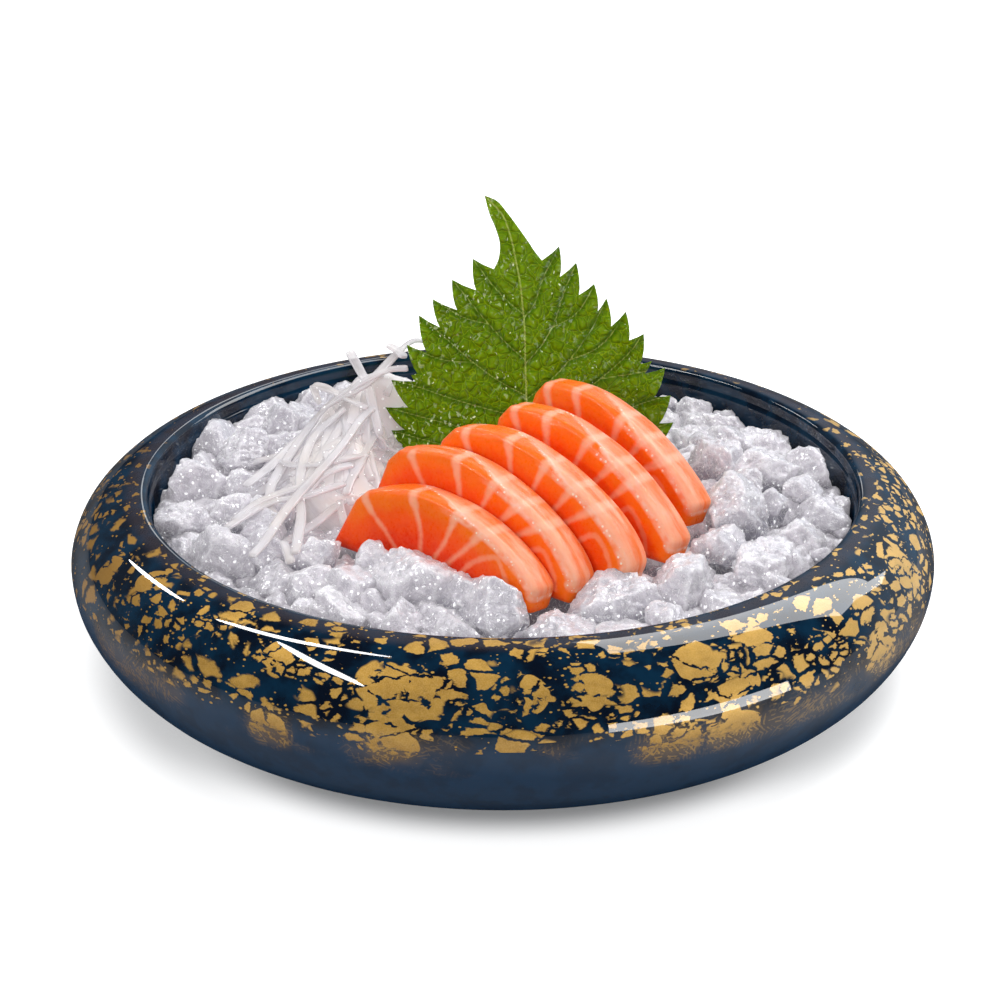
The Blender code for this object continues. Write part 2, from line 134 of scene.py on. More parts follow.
class Graph:
    """Adds nodes to one node tree and joins them up."""

    def __init__(self, tree: bpy.types.NodeTree) -> None:
        """Keep the tree that is being built."""
        self.tree = tree

    def put(self, socket: Socket, value: Value) -> None:
        """Join a socket to another one, or set its constant."""
        if isinstance(value, Signal):
            self.tree.links.new(value.socket, socket)
        else:
            socket.default_value = value

    def node(
        self, kind: str, inputs: dict | None = None, output: str | int = 0, **settings: object
    ) -> Signal:
        """Add a node.

        Args:
            kind: the node's type, without the leading ShaderNode.
            inputs: values or signals by input name or number.
            output: the name or number of the output that is wanted first.
            **settings: the node's own properties.

        Returns:
            The output's signal.
        """
        made = self.tree.nodes.new("ShaderNode" + kind)
        for name, setting in settings.items():
            setattr(made, name, setting)
        for name, value in (inputs or {}).items():
            self.put(made.inputs[name], value)
        return Signal(self, made.outputs[output])

    def math(self, operation: str, *values: Value) -> Signal:
        """The result of a Math operation on plain values."""
        return self.node("Math", dict(enumerate(values)), operation=operation)

    def most(self, *values: Value) -> Signal:
        """The largest of several values."""
        return reduce(lambda first, second: self.math("MAXIMUM", first, second), values)

    def vector(self, operation: str, *values: Value) -> Signal:
        """The result of a Vector Math operation; a plain number is the scale of SCALE.

        Args:
            operation: its name.
            *values: vectors, or a vector and a number.

        Returns:
            The result.
        """
        spots = (0, "Scale") if operation == "SCALE" else (0, 1)
        plain = operation in ("DOT_PRODUCT", "LENGTH", "DISTANCE")
        return self.node("VectorMath", dict(zip(spots, values)), int(plain), operation=operation)

    def band(self, value: Value, low: Value, high: Value, start: Value = 0.0, end: Value = 1.0) -> Signal:
        """A value mapped smoothly from a range, low to high, to another, start to end, held at both ends."""
        wanted = {"Value": value, "From Min": low, "From Max": high, "To Min": start, "To Max": end}
        return self.node("MapRange", wanted, interpolation_type="SMOOTHSTEP")

    def mix(self, share: Value, first: Value, second: Value) -> Signal:
        """A colour between two, by the share of the second."""
        return self.node("Mix", {0: share, 6: first, 7: second}, 2, data_type="RGBA")

    def blend(self, share: Value, first: Value, second: Value) -> Signal:
        """A plain value between two, by the share of the second."""
        return self.node("Mix", {0: share, 2: first, 3: second}, data_type="FLOAT")

    def noise(self, place: Value, scale: Value, detail: float = 2.0, rough: float = 0.5) -> Signal:
        """Noise of about 0.5 on average, with scale lumps per unit of place and detail finer layers."""
        return self.node(
            "TexNoise", {"Vector": place, "Scale": scale, "Detail": detail, "Roughness": rough}
        )

    def warp(self, place: Value, scale: float, reach: float, detail: float = 2.0) -> Signal:
        """A place moved about by a smooth random vector, as far as reach, roughly.

        Args:
            place: what is moved.
            scale: waves per unit of place.
            reach: roughly how far.
            detail: how many finer layers.

        Returns:
            The moved place.
        """
        drift = self.node("TexNoise", {"Vector": place, "Scale": scale, "Detail": detail}, "Color")
        centred = self.vector("SUBTRACT", drift, (0.5, 0.5, 0.5))
        return self.vector("ADD", place, self.vector("SCALE", centred, 2.0 * reach))

    def cells(self, place: Value, scale: Value, feature: str = "F1") -> Signal:
        """The Distance of a Voronoi texture, whose other output is Color."""
        return self.node("TexVoronoi", {"Vector": place, "Scale": scale}, "Distance", feature=feature)

    def bump(self, height: Value, depth: float, under: Signal | None = None) -> Signal:
        """The normal of fine relief, depth metres for a height of 1, on a coarser one if that is given.

        Args:
            height: the relief, 0 to 1.
            depth: metres for a height of 1.
            under: the normal of coarser relief.

        Returns:
            The normal.
        """
        wanted = {"Height": height, "Distance": depth, "Strength": 1.0}
        if under:
            wanted["Normal"] = under
        return self.node("Bump", wanted)

    def split(self, vector: Signal) -> tuple[Signal, Signal, Signal]:
        """The three parts of a vector."""
        first = self.node("SeparateXYZ", {0: vector})
        return first, first.other(1), first.other(2)

    def join(self, x: Value, y: Value, z: Value) -> Signal:
        """A vector from its three parts."""
        return self.node("CombineXYZ", {0: x, 1: y, 2: z})

    def stored(self, name: str) -> Signal:
        """The vector that the mesh stores under a name."""
        return self.node("Attribute", output="Vector", attribute_name=name)

    def place(self) -> Signal:
        """The place on the object, in millimetres."""
        return self.vector("SCALE", self.node("TexCoord", output="Object"), 1.0 / MM)

    def layers(self, ground: Value, *coats: tuple[Value, Value]) -> Signal:
        """Colours laid over a ground in order, each with its share.

        Args:
            ground: the lowest colour.
            *coats: the share and colour of each.

        Returns:
            The colour.
        """
        for share, colour in coats:
            ground = self.mix(share, ground, colour)
        return ground

    def effect(self, shared: "Effect", **values: Value) -> Signal:
        """A shared effect's value, from its inputs by name."""
        return self.node("Group", values, node_tree=shared.tree())


class Effect(Enum):
    """Surface effects that more than one finish uses, each built once as a node group."""

    MOTTLE = "mottle"
    SPECKS = "specks"
    PIMPLES = "pimples"
    FIBRES = "fibres"

    def tree(self) -> bpy.types.NodeTree:
        """The effect's node group, made when it is first asked for.

        Returns:
            The group.
        """
        makers = {
            Effect.MOTTLE: make_mottle,
            Effect.SPECKS: make_specks,
            Effect.PIMPLES: make_pimples,
            Effect.FIBRES: make_fibres,
        }
        return bpy.data.node_groups.get(self.value) or makers[self](self.value)


def start_group(
    name: str, inputs: dict[str, float | None], result: str
) -> tuple[Graph, list[Signal], Socket]:
    """Begin a node group.

    Args:
        name: the group's name.
        inputs: default values by input name; None marks a vector.
        result: the name of its plain output.

    Returns:
        The graph, the inputs' signals in order, and the socket that the output is put into.
    """
    graph = Graph(bpy.data.node_groups.new(name, "ShaderNodeTree"))
    face = graph.tree.interface
    for label, default in inputs.items():
        kind = "NodeSocketVector" if default is None else "NodeSocketFloat"
        socket = face.new_socket(label, in_out="INPUT", socket_type=kind)
        if default is not None:
            socket.default_value = default
    face.new_socket(result, in_out="OUTPUT", socket_type="NodeSocketFloat")
    source = graph.tree.nodes.new("NodeGroupInput")
    target = graph.tree.nodes.new("NodeGroupOutput")
    return graph, [Signal(graph, source.outputs[label]) for label in inputs], target.inputs[result]


def make_mottle(name: str) -> bpy.types.NodeTree:
    """Soft uneven patches of a stated size, 0 to 1.

    Args:
        name: the group's name.

    Returns:
        The group.
    """
    inputs = {"Place": None, "Size": 5.0, "Softness": 0.3}
    graph, (place, size, softness), share = start_group(name, inputs, "Share")
    cloud = graph.noise(place, 1.0 / size, 3.0, 0.55)
    graph.put(share, graph.band(cloud, 0.5 - softness, softness + 0.5))
    return graph.tree


def make_specks(name: str) -> bpy.types.NodeTree:
    """Separate small spots.

    Args:
        name: the group's name.

    Returns:
        The group: Spacing and Radius are sizes, and Share is how many cells have a spot.
    """
    inputs = {"Place": None, "Spacing": 1.3, "Radius": 0.3, "Share": 0.5}
    graph, (place, spacing, radius, share), mask = start_group(name, inputs, "Mask")
    scale = 1.0 / spacing
    spots = graph.cells(place, scale)
    chance, size, _ = graph.split(spots.other("Color"))
    reach = radius * scale * graph.band(size, 0.0, 1.0, 0.5, 1.1)
    disc = graph.band(spots, reach * 0.6, reach, 1.0, 0.0)
    graph.put(mask, disc * graph.math("LESS_THAN", chance, share))
    return graph.tree


def make_pimples(name: str) -> bpy.types.NodeTree:
    """Small rounded bumps between fine creases, 0 to 1.

    Args:
        name: the group's name.

    Returns:
        The group.
    """
    graph, (place, size), height = start_group(name, {"Place": None, "Size": 1.2}, "Height")
    moved = graph.warp(graph.vector("SCALE", place, 1.0 / size), 0.9, 0.45)
    reach = graph.cells(moved, 1.0)
    fine = graph.noise(moved, 2.3, 2.0)
    graph.put(height, (1.0 - reach * reach) * 0.75 + fine * 0.25)
    return graph.tree


def make_fibres(name: str) -> bpy.types.NodeTree:
    """Streaks drawn out along the first axis of the place.

    Args:
        name: the group's name.

    Returns:
        The group: Length and Width are the size of a streak.
    """
    inputs = {"Place": None, "Length": 8.0, "Width": 0.6}
    graph, (place, length, width), share = start_group(name, inputs, "Share")
    along, across, up = graph.split(place)
    drawn = graph.join(along / length, across / width, up / width)
    graph.put(share, graph.band(graph.noise(drawn, 1.0, 3.0, 0.6), 0.32, 0.68))
    return graph.tree


# --------------------------------------------------------------------
# Finishes
# --------------------------------------------------------------------


@dataclass(frozen=True)
class Finish:
    """A procedural material around one Principled shader."""

    name: str
    constants: tuple[tuple[str, object], ...] = ()

    def material(self) -> bpy.types.Material:
        """The Blender material, made when it is first asked for.

        Returns:
            The material.
        """
        found = bpy.data.materials.get(self.name)
        if found:
            return found
        made = bpy.data.materials.new(self.name)
        made.use_nodes = True
        graph = Graph(made.node_tree)
        shader = made.node_tree.nodes["Principled BSDF"]
        for label, value in self.constants:
            shader.inputs[label].default_value = value
        for label, value in self.dress(graph).items():
            graph.put(shader.inputs[label], value)
        return made

    def dress(self, graph: Graph) -> dict[str, Value]:
        """The sockets that vary over the surface, by shader input."""
        return {}


@dataclass(frozen=True)
class GlazeFinish(Finish):
    """Navy glaze over broken gold leaf: flakes of several sizes, thinned to brushed strokes lower down."""

    name: str = "navy_glaze_gold_flakes"
    constants: tuple = (("Specular IOR Level", 0.0), ("Coat Roughness", 0.02), ("Coat IOR", 1.5))
    navy: tuple = (0.0016, 0.027, 0.064, 1.0)
    # paler slate blue painted low on the belly as the floor's reflection
    floor_reflection_blue: tuple = (0.006, 0.038, 0.094, 1.0)
    deep: tuple = (0.0004, 0.0035, 0.013, 1.0)
    gold: tuple = shade(220, 171, 80)
    bronze: tuple = shade(160, 114, 42)
    pale_gold: tuple = shade(244, 204, 128)
    # grey-brown painted reflection of the pale room along the top of the lip
    lip_reflection_grey: tuple = shade(74, 62, 64)
    whole_height: float = 33.0  # mm: above it the flakes are whole
    worn_height: float = 27.5  # mm: below it there are only brushed strokes
    bare_height: float = 21.0  # mm: below it there is no gold
    flake_sizes: tuple = (2.2, 4.1, 4.9)  # mm: small, medium and large
    stroke_radius: float = 104.0  # mm: of the bowl where the strokes are
    stroke_fields: tuple = ((3.4, 0.95, 0.0), (5.0, 1.25, 31.0))  # mm: size, pitch of the strokes, and shift
    # Middles and radii, in mm, of the large patches, from the left round the front to the right
    patches: tuple = (
        ((-95, -44, 42), 6), ((-83, -56, 45), 5), ((-61, -75, 46), 5), ((-51, -90, 42), 6),
        ((-26, -102, 40), 9), ((-16, -104, 40), 7), ((-24, -107, 31), 9), ((6, -105, 41), 5),
        ((18, -103, 41), 6), ((44, -93, 43), 7), ((55, -86, 44), 8), ((53, -95, 34), 8),
        ((37, -103, 28), 10), ((52, -97, 28), 10), ((89, -64, 31), 9), ((97, -40, 41), 8),
        ((-52, -96, 27), 8),
    )

    def flakes(
        self, graph: Graph, place: Signal, size: float, crack: Value, rich: Value, soft: Value
    ) -> Signal:
        """Flat broken flakes of one size.

        Args:
            graph: the tree.
            place: where they are read, in mm.
            size: of a flake, in mm.
            crack: width of the gap beside each flake, in mm.
            rich: the share of the flakes that are there.
            soft: width of a flake's edge, in mm.

        Returns:
            A mask, 1 on gold.
        """
        edge = graph.cells(place, 1.0 / size, "DISTANCE_TO_EDGE")
        chance, _, _ = graph.split(graph.cells(place, 1.0 / size).other("Color"))
        return graph.band(edge * size - crack, 0.0, soft) * graph.math("LESS_THAN", chance, rich)

    def grazed(self, graph: Graph) -> Signal:
        """How strong the clear glaze mirrors: less where it is seen edge on.

        Args:
            graph: the material's tree.

        Returns:
            The coat weight.
        """
        facing = graph.node("LayerWeight", {"Blend": 0.5}, "Facing")
        low = graph.band(graph.split(graph.place())[2], 16.0, 27.0, 0.70, 1.0)
        return graph.band(facing, 0.45, 0.9, 1.0, 0.12) * low

    def strokes(self, graph: Graph, turn: Signal, course: Signal) -> Signal:
        """Fine brushed strokes in small fields, each with its own direction.

        Args:
            graph: the tree.
            turn: the angle round the bowl.
            course: the stored place on the bowl's skin, in mm.

        Returns:
            A mask, 1 on gold.
        """
        _, _, run = graph.split(course)
        around = turn * self.stroke_radius
        moved = graph.warp(course, 0.3, 0.8)
        bend = graph.noise(course, 0.5, 2.0) * 5.0
        limit = graph.band(graph.noise(course, 0.8, 2.0), 0.38, 0.66, 0.95, -0.15)
        fields = []
        for size, pitch, shift in self.stroke_fields:
            spot = graph.vector("ADD", moved, (0.0, 0.0, shift))
            aim, chance, _ = graph.split(graph.cells(spot, 1.0 / size).other("Color"))
            angle = aim * math.tau
            run_on = around * graph.math("COSINE", angle) + run * graph.math("SINE", angle)
            wave = graph.math("SINE", run_on * (math.tau / pitch) + bend)
            fields.append(graph.band(wave - limit, 0.0, 0.45) * graph.band(chance, 0.25, 0.35))
        return graph.most(*fields)

    def dress(self, graph: Graph) -> dict[str, Value]:
        """The glaze's colour, roughness and faint relief.

        Args:
            graph: the material's tree.

        Returns:
            The values by shader input.
        """
        place = graph.place()
        across, along, height = graph.split(place)
        turn = graph.math("ARCTAN2", along, across)
        course = graph.stored("course")
        wandering = graph.warp(place, 0.10, 5.0)
        near = [
            graph.band(graph.vector("DISTANCE", wandering, middle), radius * 0.55, radius * 1.1, 1.0, 0.0)
            for middle, radius in self.patches
        ]
        patch = graph.most(*near)
        spread = graph.math("SQRT", across * across + along * along)
        faded = graph.band(along - across * 0.2, -8.0, 42.0) * graph.band(spread, 99.0, 106.0, 1.0, 0.15)
        brim = graph.most(
            graph.band(spread, 92.0, 102.0, 0.38, 1.0), graph.band(along, -95.0, -55.0, 0.9, 0.0)
        )
        field = graph.effect(Effect.MOTTLE, Place=course, Size=18.0, Softness=0.20)
        base = graph.band(field, 0.0, 1.0, 0.5, 0.84) + graph.band(across, -100.0, -50.0, -0.14, 0.0)
        upper = graph.band(height, self.worn_height, self.whole_height)
        rich = graph.most(base * brim * (1.0 - faded * 0.45) * upper, patch * 0.97)

        whole = self.broken(graph, course, graph.split(wandering)[0], patch, rich)
        frayed = graph.band(height, 24.0, self.whole_height, 0.45, 0.0)
        wear = graph.noise(course, 0.9, 4.0, 0.65) + frayed
        whole = whole * graph.band(wear, 0.68, 1.0, 1.0, 0.0)
        whole = whole * graph.band(height, self.bare_height + 2.0, self.worn_height)
        above = graph.band(height, self.worn_height, self.whole_height + 1.0, 1.0, 0.0)
        clouds = graph.band(graph.noise(course, 0.05, 3.0), 0.47, 0.60)
        lower = graph.band(height, self.bare_height, self.bare_height + 5.0) * above
        lower = lower * graph.most(clouds * 0.55, patch)
        mask = graph.most(whole, self.strokes(graph, turn, course) * lower * 0.75, lower * 0.25)
        mask = mask * graph.band(spread, 90.4, 91.6) * (1.0 - faded * 0.4)

        tone = graph.effect(Effect.MOTTLE, Place=course, Size=2.6, Softness=0.26)
        grain = graph.noise(place, 3.5, 2.0)
        gilt = graph.layers(
            self.gold,
            (tone * 0.55, self.bronze),
            (graph.band(grain, 0.35, 0.7, 0.0, 0.35), self.pale_gold),
            (graph.band(height, self.worn_height, self.whole_height, 0.4, 0.0), self.bronze),
            # painted shade: the gold turns bronze towards the left; painted light: it turns paler towards
            # the right
            (graph.band(across, -108.0, -55.0, 0.85, 0.0), self.bronze),
            (graph.band(across, 15.0, 90.0, 0.0, 0.38), self.pale_gold),
        )
        depth = graph.effect(Effect.MOTTLE, Place=place, Size=8.0, Softness=0.16)
        # Below the gold the navy is mixed with slate blue: a painted reflection of the floor
        bare = graph.band(height, self.worn_height, self.whole_height, 1.0, 0.0)
        # Painted reflection: a patchy grey-brown band along the top of the lip, where the glaze mirrors the
        # pale room
        lip_reflection = graph.band(height, 46.6, 47.5) * graph.band(grain, 0.35, 0.6, 0.35, 0.6)
        ground = graph.layers(
            self.deep,
            (depth, self.navy),
            (bare * graph.band(depth, 0.0, 1.0, 0.72, 1.0) * 0.95, self.floor_reflection_blue),
            (lip_reflection * graph.band(spread, 91.0, 92.5), self.lip_reflection_grey),
        )
        return {
            "Base Color": graph.mix(mask, ground, gilt),
            "Roughness": mask * 0.38 + 0.12,
            "Metallic": mask * 0.2,
            "Coat Weight": self.grazed(graph),
            "Normal": graph.bump(grain, 0.000004),
        }

    def broken(self, graph: Graph, course: Signal, across: Signal, patch: Signal, rich: Signal) -> Signal:
        """The flakes and the dust of the upper side.

        Args:
            graph: the tree.
            course: the stored place on the bowl's skin, in mm.
            across: the place from left to right, in mm, moved about a little.
            patch: a mask, 1 in the large patches.
            rich: the share of the flakes that are there.

        Returns:
            A mask, 1 on gold.
        """
        least, medium, most = self.flake_sizes
        moved = graph.warp(course, 0.12, 1.5)
        torn = graph.warp(moved, 1.1, 0.55, 3.0)
        wide = graph.noise(course, 0.17, 2.0)
        fine = graph.noise(graph.vector("ADD", course, (9.0, 0.0, 4.0)), 0.085, 2.0)
        chosen = graph.band(fine, 0.475, 0.505)
        soft = graph.band(across + 90.0, 0.0, 70.0, 0.7, 0.18)
        larger = self.flakes(graph, torn, medium, graph.band(wide, 0.35, 0.65, 0.20, 0.60), rich, soft)
        small = self.flakes(graph, torn, least, graph.band(wide, 0.35, 0.65, 0.14, 0.34), rich * 0.92, 0.2)
        large = self.flakes(graph, graph.warp(moved, 0.6, 1.3, 3.0), most, 0.22, 0.90, 0.15)
        large = large * graph.band(patch + wide, 1.22, 1.32)
        dust = graph.effect(Effect.SPECKS, Place=course, Spacing=1.05, Radius=0.33, Share=rich * 0.75)
        return graph.most(larger * (1.0 - chosen), small * chosen, large, dust)


@dataclass(frozen=True)
class IceFinish(Finish):
    """Cloudy wet crushed ice with small ripples, painted highlights on its edges and ripples, painted white
    glints, a painted glow and painted shade on the lower side of each lump.
    """

    name: str = "crushed_ice"
    constants: tuple = (
        ("IOR", 1.31),
        ("Subsurface Weight", 0.50),
        ("Subsurface Radius", (1.0, 1.0, 1.0)),
        ("Subsurface Scale", 0.0040),
        ("Transmission Weight", 0.10),
        ("Coat Weight", 0.9),
        ("Coat Roughness", 0.05),
        ("Coat IOR", 1.36),
        ("Sheen Weight", 0.35),
        ("Sheen Roughness", 0.45),
        ("Emission Strength", 1.0),
    )
    clear: tuple = shade(168, 164, 174)
    cloudy: tuple = shade(224, 219, 226)
    # painted shade for the lower side of each lump and for the core
    underside_shade: tuple = shade(112, 110, 122)
    # white for the painted highlights on edges, ripple lines and glints
    ridge: tuple = shade(255, 255, 255)
    # painted glow: the ice gives off light of its own, standing in for light passing through it
    glow: tuple = (0.150, 0.142, 0.150, 1.0)
    # painted shade: the glow drops to this on the lower side of each lump
    dim: tuple = (0.03, 0.03, 0.035, 1.0)
    # painted highlights: the glow rises to this on glints, edges and ripple lines
    shine: tuple = (0.90, 0.90, 0.92, 1.0)
    wave_depth: float = 0.0006
    ripple_depth: float = 0.00085

    def dress(self, graph: Graph) -> dict[str, Value]:
        """The ice's clouds and rippled skin, with painted highlights, glints, shade and glow.

        Args:
            graph: the material's tree.

        Returns:
            The values by shader input.
        """
        place = graph.place()
        edge, tone, rise = graph.split(graph.stored("crease"))
        cloud = graph.effect(Effect.MOTTLE, Place=place, Size=3.4, Softness=0.25)
        drawn = graph.warp(place, 0.7, 0.5)
        swirl = graph.noise(drawn, 0.80, 1.0)
        # thin lines along the ripples, painted lighter as highlights
        worm = graph.band(abs(swirl - 0.5), 0.005, 0.045, 1.0, 0.0)
        # painted glints: small white spots
        glint = graph.effect(Effect.SPECKS, Place=drawn, Spacing=1.75, Radius=0.46, Share=0.85)
        colour = graph.layers(
            self.clear,
            (cloud, self.cloudy),
            # random tone per lump, with painted shade on the lumps at the left
            (tone * 0.75, self.clear),
            # painted shade: darker towards the lower side of each lump
            (graph.band(rise, -0.20, 0.50, 0.85, 0.0), self.underside_shade),
            # painted highlights on ripple lines, edges and glints
            (worm * 0.4, self.ridge),
            (edge * 0.3, self.ridge),
            (glint * 0.6, self.ridge),
        )
        light = graph.layers(
            self.glow,
            # painted shade: less glow on the lower side of each lump
            (graph.band(rise, -0.3, 0.4, 0.9, 0.0), self.dim),
            # painted highlights also glow on glints, edges and ripple lines
            (graph.most(edge * 0.1, worm * 0.07, glint * 0.75), self.shine),
        )
        waves = graph.bump(graph.noise(place, 0.34, 2.0, 0.5), self.wave_depth)
        return {
            "Base Color": colour,
            "Emission Color": light,
            "Roughness": graph.band(cloud, 0.0, 1.0, 0.08, 0.24),
            "Normal": graph.bump(swirl + worm * 0.3, self.ripple_depth, waves),
        }


@dataclass(frozen=True)
class SalmonFinish(Finish):
    """Raw salmon: deep orange flesh, pale lines of fat, a streaked outer side, and a painted highlight with
    glints along the rounded edge.
    """

    name: str = "raw_salmon"
    constants: tuple = (
        ("Subsurface Weight", 0.30),
        ("Subsurface Radius", (1.0, 0.28, 0.10)),
        ("Subsurface Scale", 0.0020),
        ("Specular IOR Level", 0.10),
        ("Coat Weight", 0.22),
        ("Coat Roughness", 0.10),
        ("Coat IOR", 1.36),
    )
    deep: tuple = shade(232, 44, 2)
    flesh: tuple = shade(253, 80, 3)
    bright: tuple = shade(255, 114, 8)
    fat: tuple = shade(255, 168, 132)
    skin: tuple = shade(255, 108, 22)
    white: tuple = shade(255, 200, 172)
    # pale tint for the painted highlight and glints along the rounded edge
    edge_highlight_tint: tuple = shade(255, 226, 208)
    thickness: float = 10.0  # mm

    def dress(self, graph: Graph) -> dict[str, Value]:
        """The flesh from its stored distances: to the fat, to the outer side, and through the slice.

        Args:
            graph: the material's tree.

        Returns:
            The values by shader input.
        """
        line_gap, arch_gap, share = graph.split(graph.stored("fat"))
        along, depth, inside = graph.split(graph.stored("skin"))
        grain = graph.stored("grain")
        cloud = graph.effect(Effect.MOTTLE, Place=grain, Size=6.0, Softness=0.25)
        fine = graph.effect(Effect.MOTTLE, Place=grain, Size=0.8, Softness=0.25)
        wander = graph.noise(grain, 0.45, 3.0)
        sway = wander - 0.5
        inward = inside + sway * 4.0
        width = graph.band(inside, 0.5, 8.0, 1.0, 0.35)
        line = graph.band(line_gap + sway - width, -0.55, 0.8, 1.0, 0.0)
        line = line * graph.band(inside, 2.0, 12.0, 0.95, 0.72)
        arch = graph.band(arch_gap + sway, 0.2, 1.1, 0.5, 0.0)

        turned = graph.band(share - 0.1, 0.0, 0.56, 1.0, 0.0)
        past = depth - turned * self.thickness + sway * 1.2
        outer = graph.band(inside, 0.3, 1.9, 1.0, 0.0) * graph.band(past, -0.5, 0.5)
        long = graph.join(along, depth, 0.0)
        streak = graph.effect(Effect.FIBRES, Place=graph.warp(long, 0.12, 1.5), Length=13.0, Width=2.2)
        thin = graph.effect(Effect.FIBRES, Place=long, Length=7.0, Width=0.5)
        full = graph.band(turned, 0.0, 0.7, 1.0, 0.25)
        side = graph.layers(
            self.skin,
            (graph.band(past, 0.0, 4.5, 0.8, 0.06) * full, self.white),
            (streak * graph.band(share, 0.45, 0.85, 0.26, 0.5), self.white),
            (thin * 0.1, self.fat),
            (graph.band(line_gap + sway, 0.5, 1.8, 0.45, 0.0), self.white),
        )
        near = graph.band(inside, 0.7, 1.5) * graph.band(inside, 1.7, 2.7, 1.0, 0.0)
        crossed = graph.band(abs(past), 0.3, 0.9, 1.0, 0.0) * graph.band(inside, 0.8, 1.8, 1.0, 0.0)
        rim = graph.most(near * graph.band(turned, 0.05, 0.35, 1.0, 0.0), crossed)
        # painted glints: white dots along the rounded edge
        edge_glints = graph.effect(Effect.SPECKS, Place=grain, Spacing=1.15, Radius=0.40, Share=0.75)
        # painted highlight: a broken pale line along the rounded edge
        edge_highlight = rim * full * graph.band(wander, 0.3, 0.7, 0.15, 0.5)
        tone = graph.layers(
            self.bright,
            (graph.band(inward, 2.5, 7.5), self.flesh),
            (graph.band(inward, 6.5, 13.0), self.deep),
            (cloud * 0.3, self.flesh),
            (fine * 0.07, self.fat),
            (graph.most(line, arch), self.fat),
            (outer * 0.9, side),
            (graph.most(edge_highlight, edge_glints * rim), self.edge_highlight_tint),
        )
        pits = graph.effect(Effect.PIMPLES, Place=grain, Size=0.8)
        return {
            "Base Color": tone,
            "Roughness": graph.band(fine, 0.0, 1.0, 0.26, 0.42),
            "Normal": graph.bump(pits, 0.00007),
        }


@dataclass(frozen=True)
class LeafFinish(Finish):
    """Fresh shiso leaf: bright green with thin pale veins, a fine net between them, painted shade beside the
    net's lines and the side veins, and painted glints.
    """

    name: str = "shiso_leaf_green"
    constants: tuple = (
        ("Subsurface Weight", 0.10),
        ("Subsurface Radius", (0.3, 1.0, 0.1)),
        ("Subsurface Scale", 0.0006),
        ("Specular IOR Level", 0.05),
        ("Coat Weight", 0.30),
        ("Coat Roughness", 0.12),
        ("Coat IOR", 1.36),
        ("Emission Strength", 1.0),
    )
    green: tuple = shade(119, 157, 1)
    # dark green, used both for random patches and for painted shade beside the net's lines and the side
    # veins
    dark: tuple = shade(62, 102, 0)
    light: tuple = shade(158, 190, 10)
    vein: tuple = shade(186, 204, 104)
    # pale colour of the painted glints
    drop: tuple = shade(205, 214, 170)
    # painted glints: the glint spots glow with this
    shine: tuple = (0.34, 0.38, 0.24, 1.0)

    def dress(self, graph: Graph) -> dict[str, Value]:
        """The leaf's greens, veins and net from its stored distance to the nearest vein.

        Args:
            graph: the material's tree.

        Returns:
            The values by shader input.
        """
        main_gap, side_gap, _ = graph.split(graph.stored("vein"))
        grain = graph.stored("grain")
        cloud = graph.effect(Effect.MOTTLE, Place=grain, Size=11.0, Softness=0.25)
        fine = graph.effect(Effect.MOTTLE, Place=grain, Size=2.0, Softness=0.3)
        net = graph.cells(graph.warp(grain, 0.5, 0.7), 0.36, "DISTANCE_TO_EDGE")
        quilt = graph.noise(grain, 0.75, 2.0)
        # The painted glints are read from a drawn-out place and crowd towards the left.
        wet = graph.vector("MULTIPLY", graph.warp(grain, 0.5, 1.2), (1.0, 0.5, 1.0))
        left = graph.band(graph.split(grain)[0], -12.0, 16.0, 1.0, 0.35)
        crowd = graph.band(graph.noise(grain, 0.1, 2.0), 0.42, 0.62, 0.06, 0.8) * left
        spots = graph.effect(Effect.SPECKS, Place=wet, Spacing=0.95, Radius=0.24, Share=crowd)
        smear = graph.band(graph.noise(wet, 0.9, 1.0), 0.60, 0.70)
        spots = graph.most(spots, smear * crowd * 0.55)
        tone = graph.layers(
            self.green,
            (cloud * 0.6, self.dark),
            (fine * 0.3, self.light),
            # painted shade beside the lines of the net
            (graph.band(net, 0.03, 0.22, 0.50, 0.0), self.dark),
            (graph.band(net, 0.0, 0.045, 0.55, 0.0), self.light),
            # painted shade beside the side veins
            (graph.band(side_gap, 0.3, 1.6, 0.65, 0.0), self.dark),
            (graph.band(side_gap, 0.06, 0.24, 0.60, 0.0), self.vein),
            (graph.band(main_gap, 0.10, 0.32, 0.85, 0.0), self.vein),
            # painted glints
            (spots * 0.75, self.drop),
        )
        relief = graph.band(net, 0.0, 0.3) + quilt * 0.6
        return {
            "Base Color": tone,
            # painted glints glow
            "Emission Color": graph.mix(spots, BLACK, self.shine),
            "Roughness": graph.band(fine, 0.0, 1.0, 0.30, 0.45),
            "Normal": graph.bump(relief, 0.00055),
        }


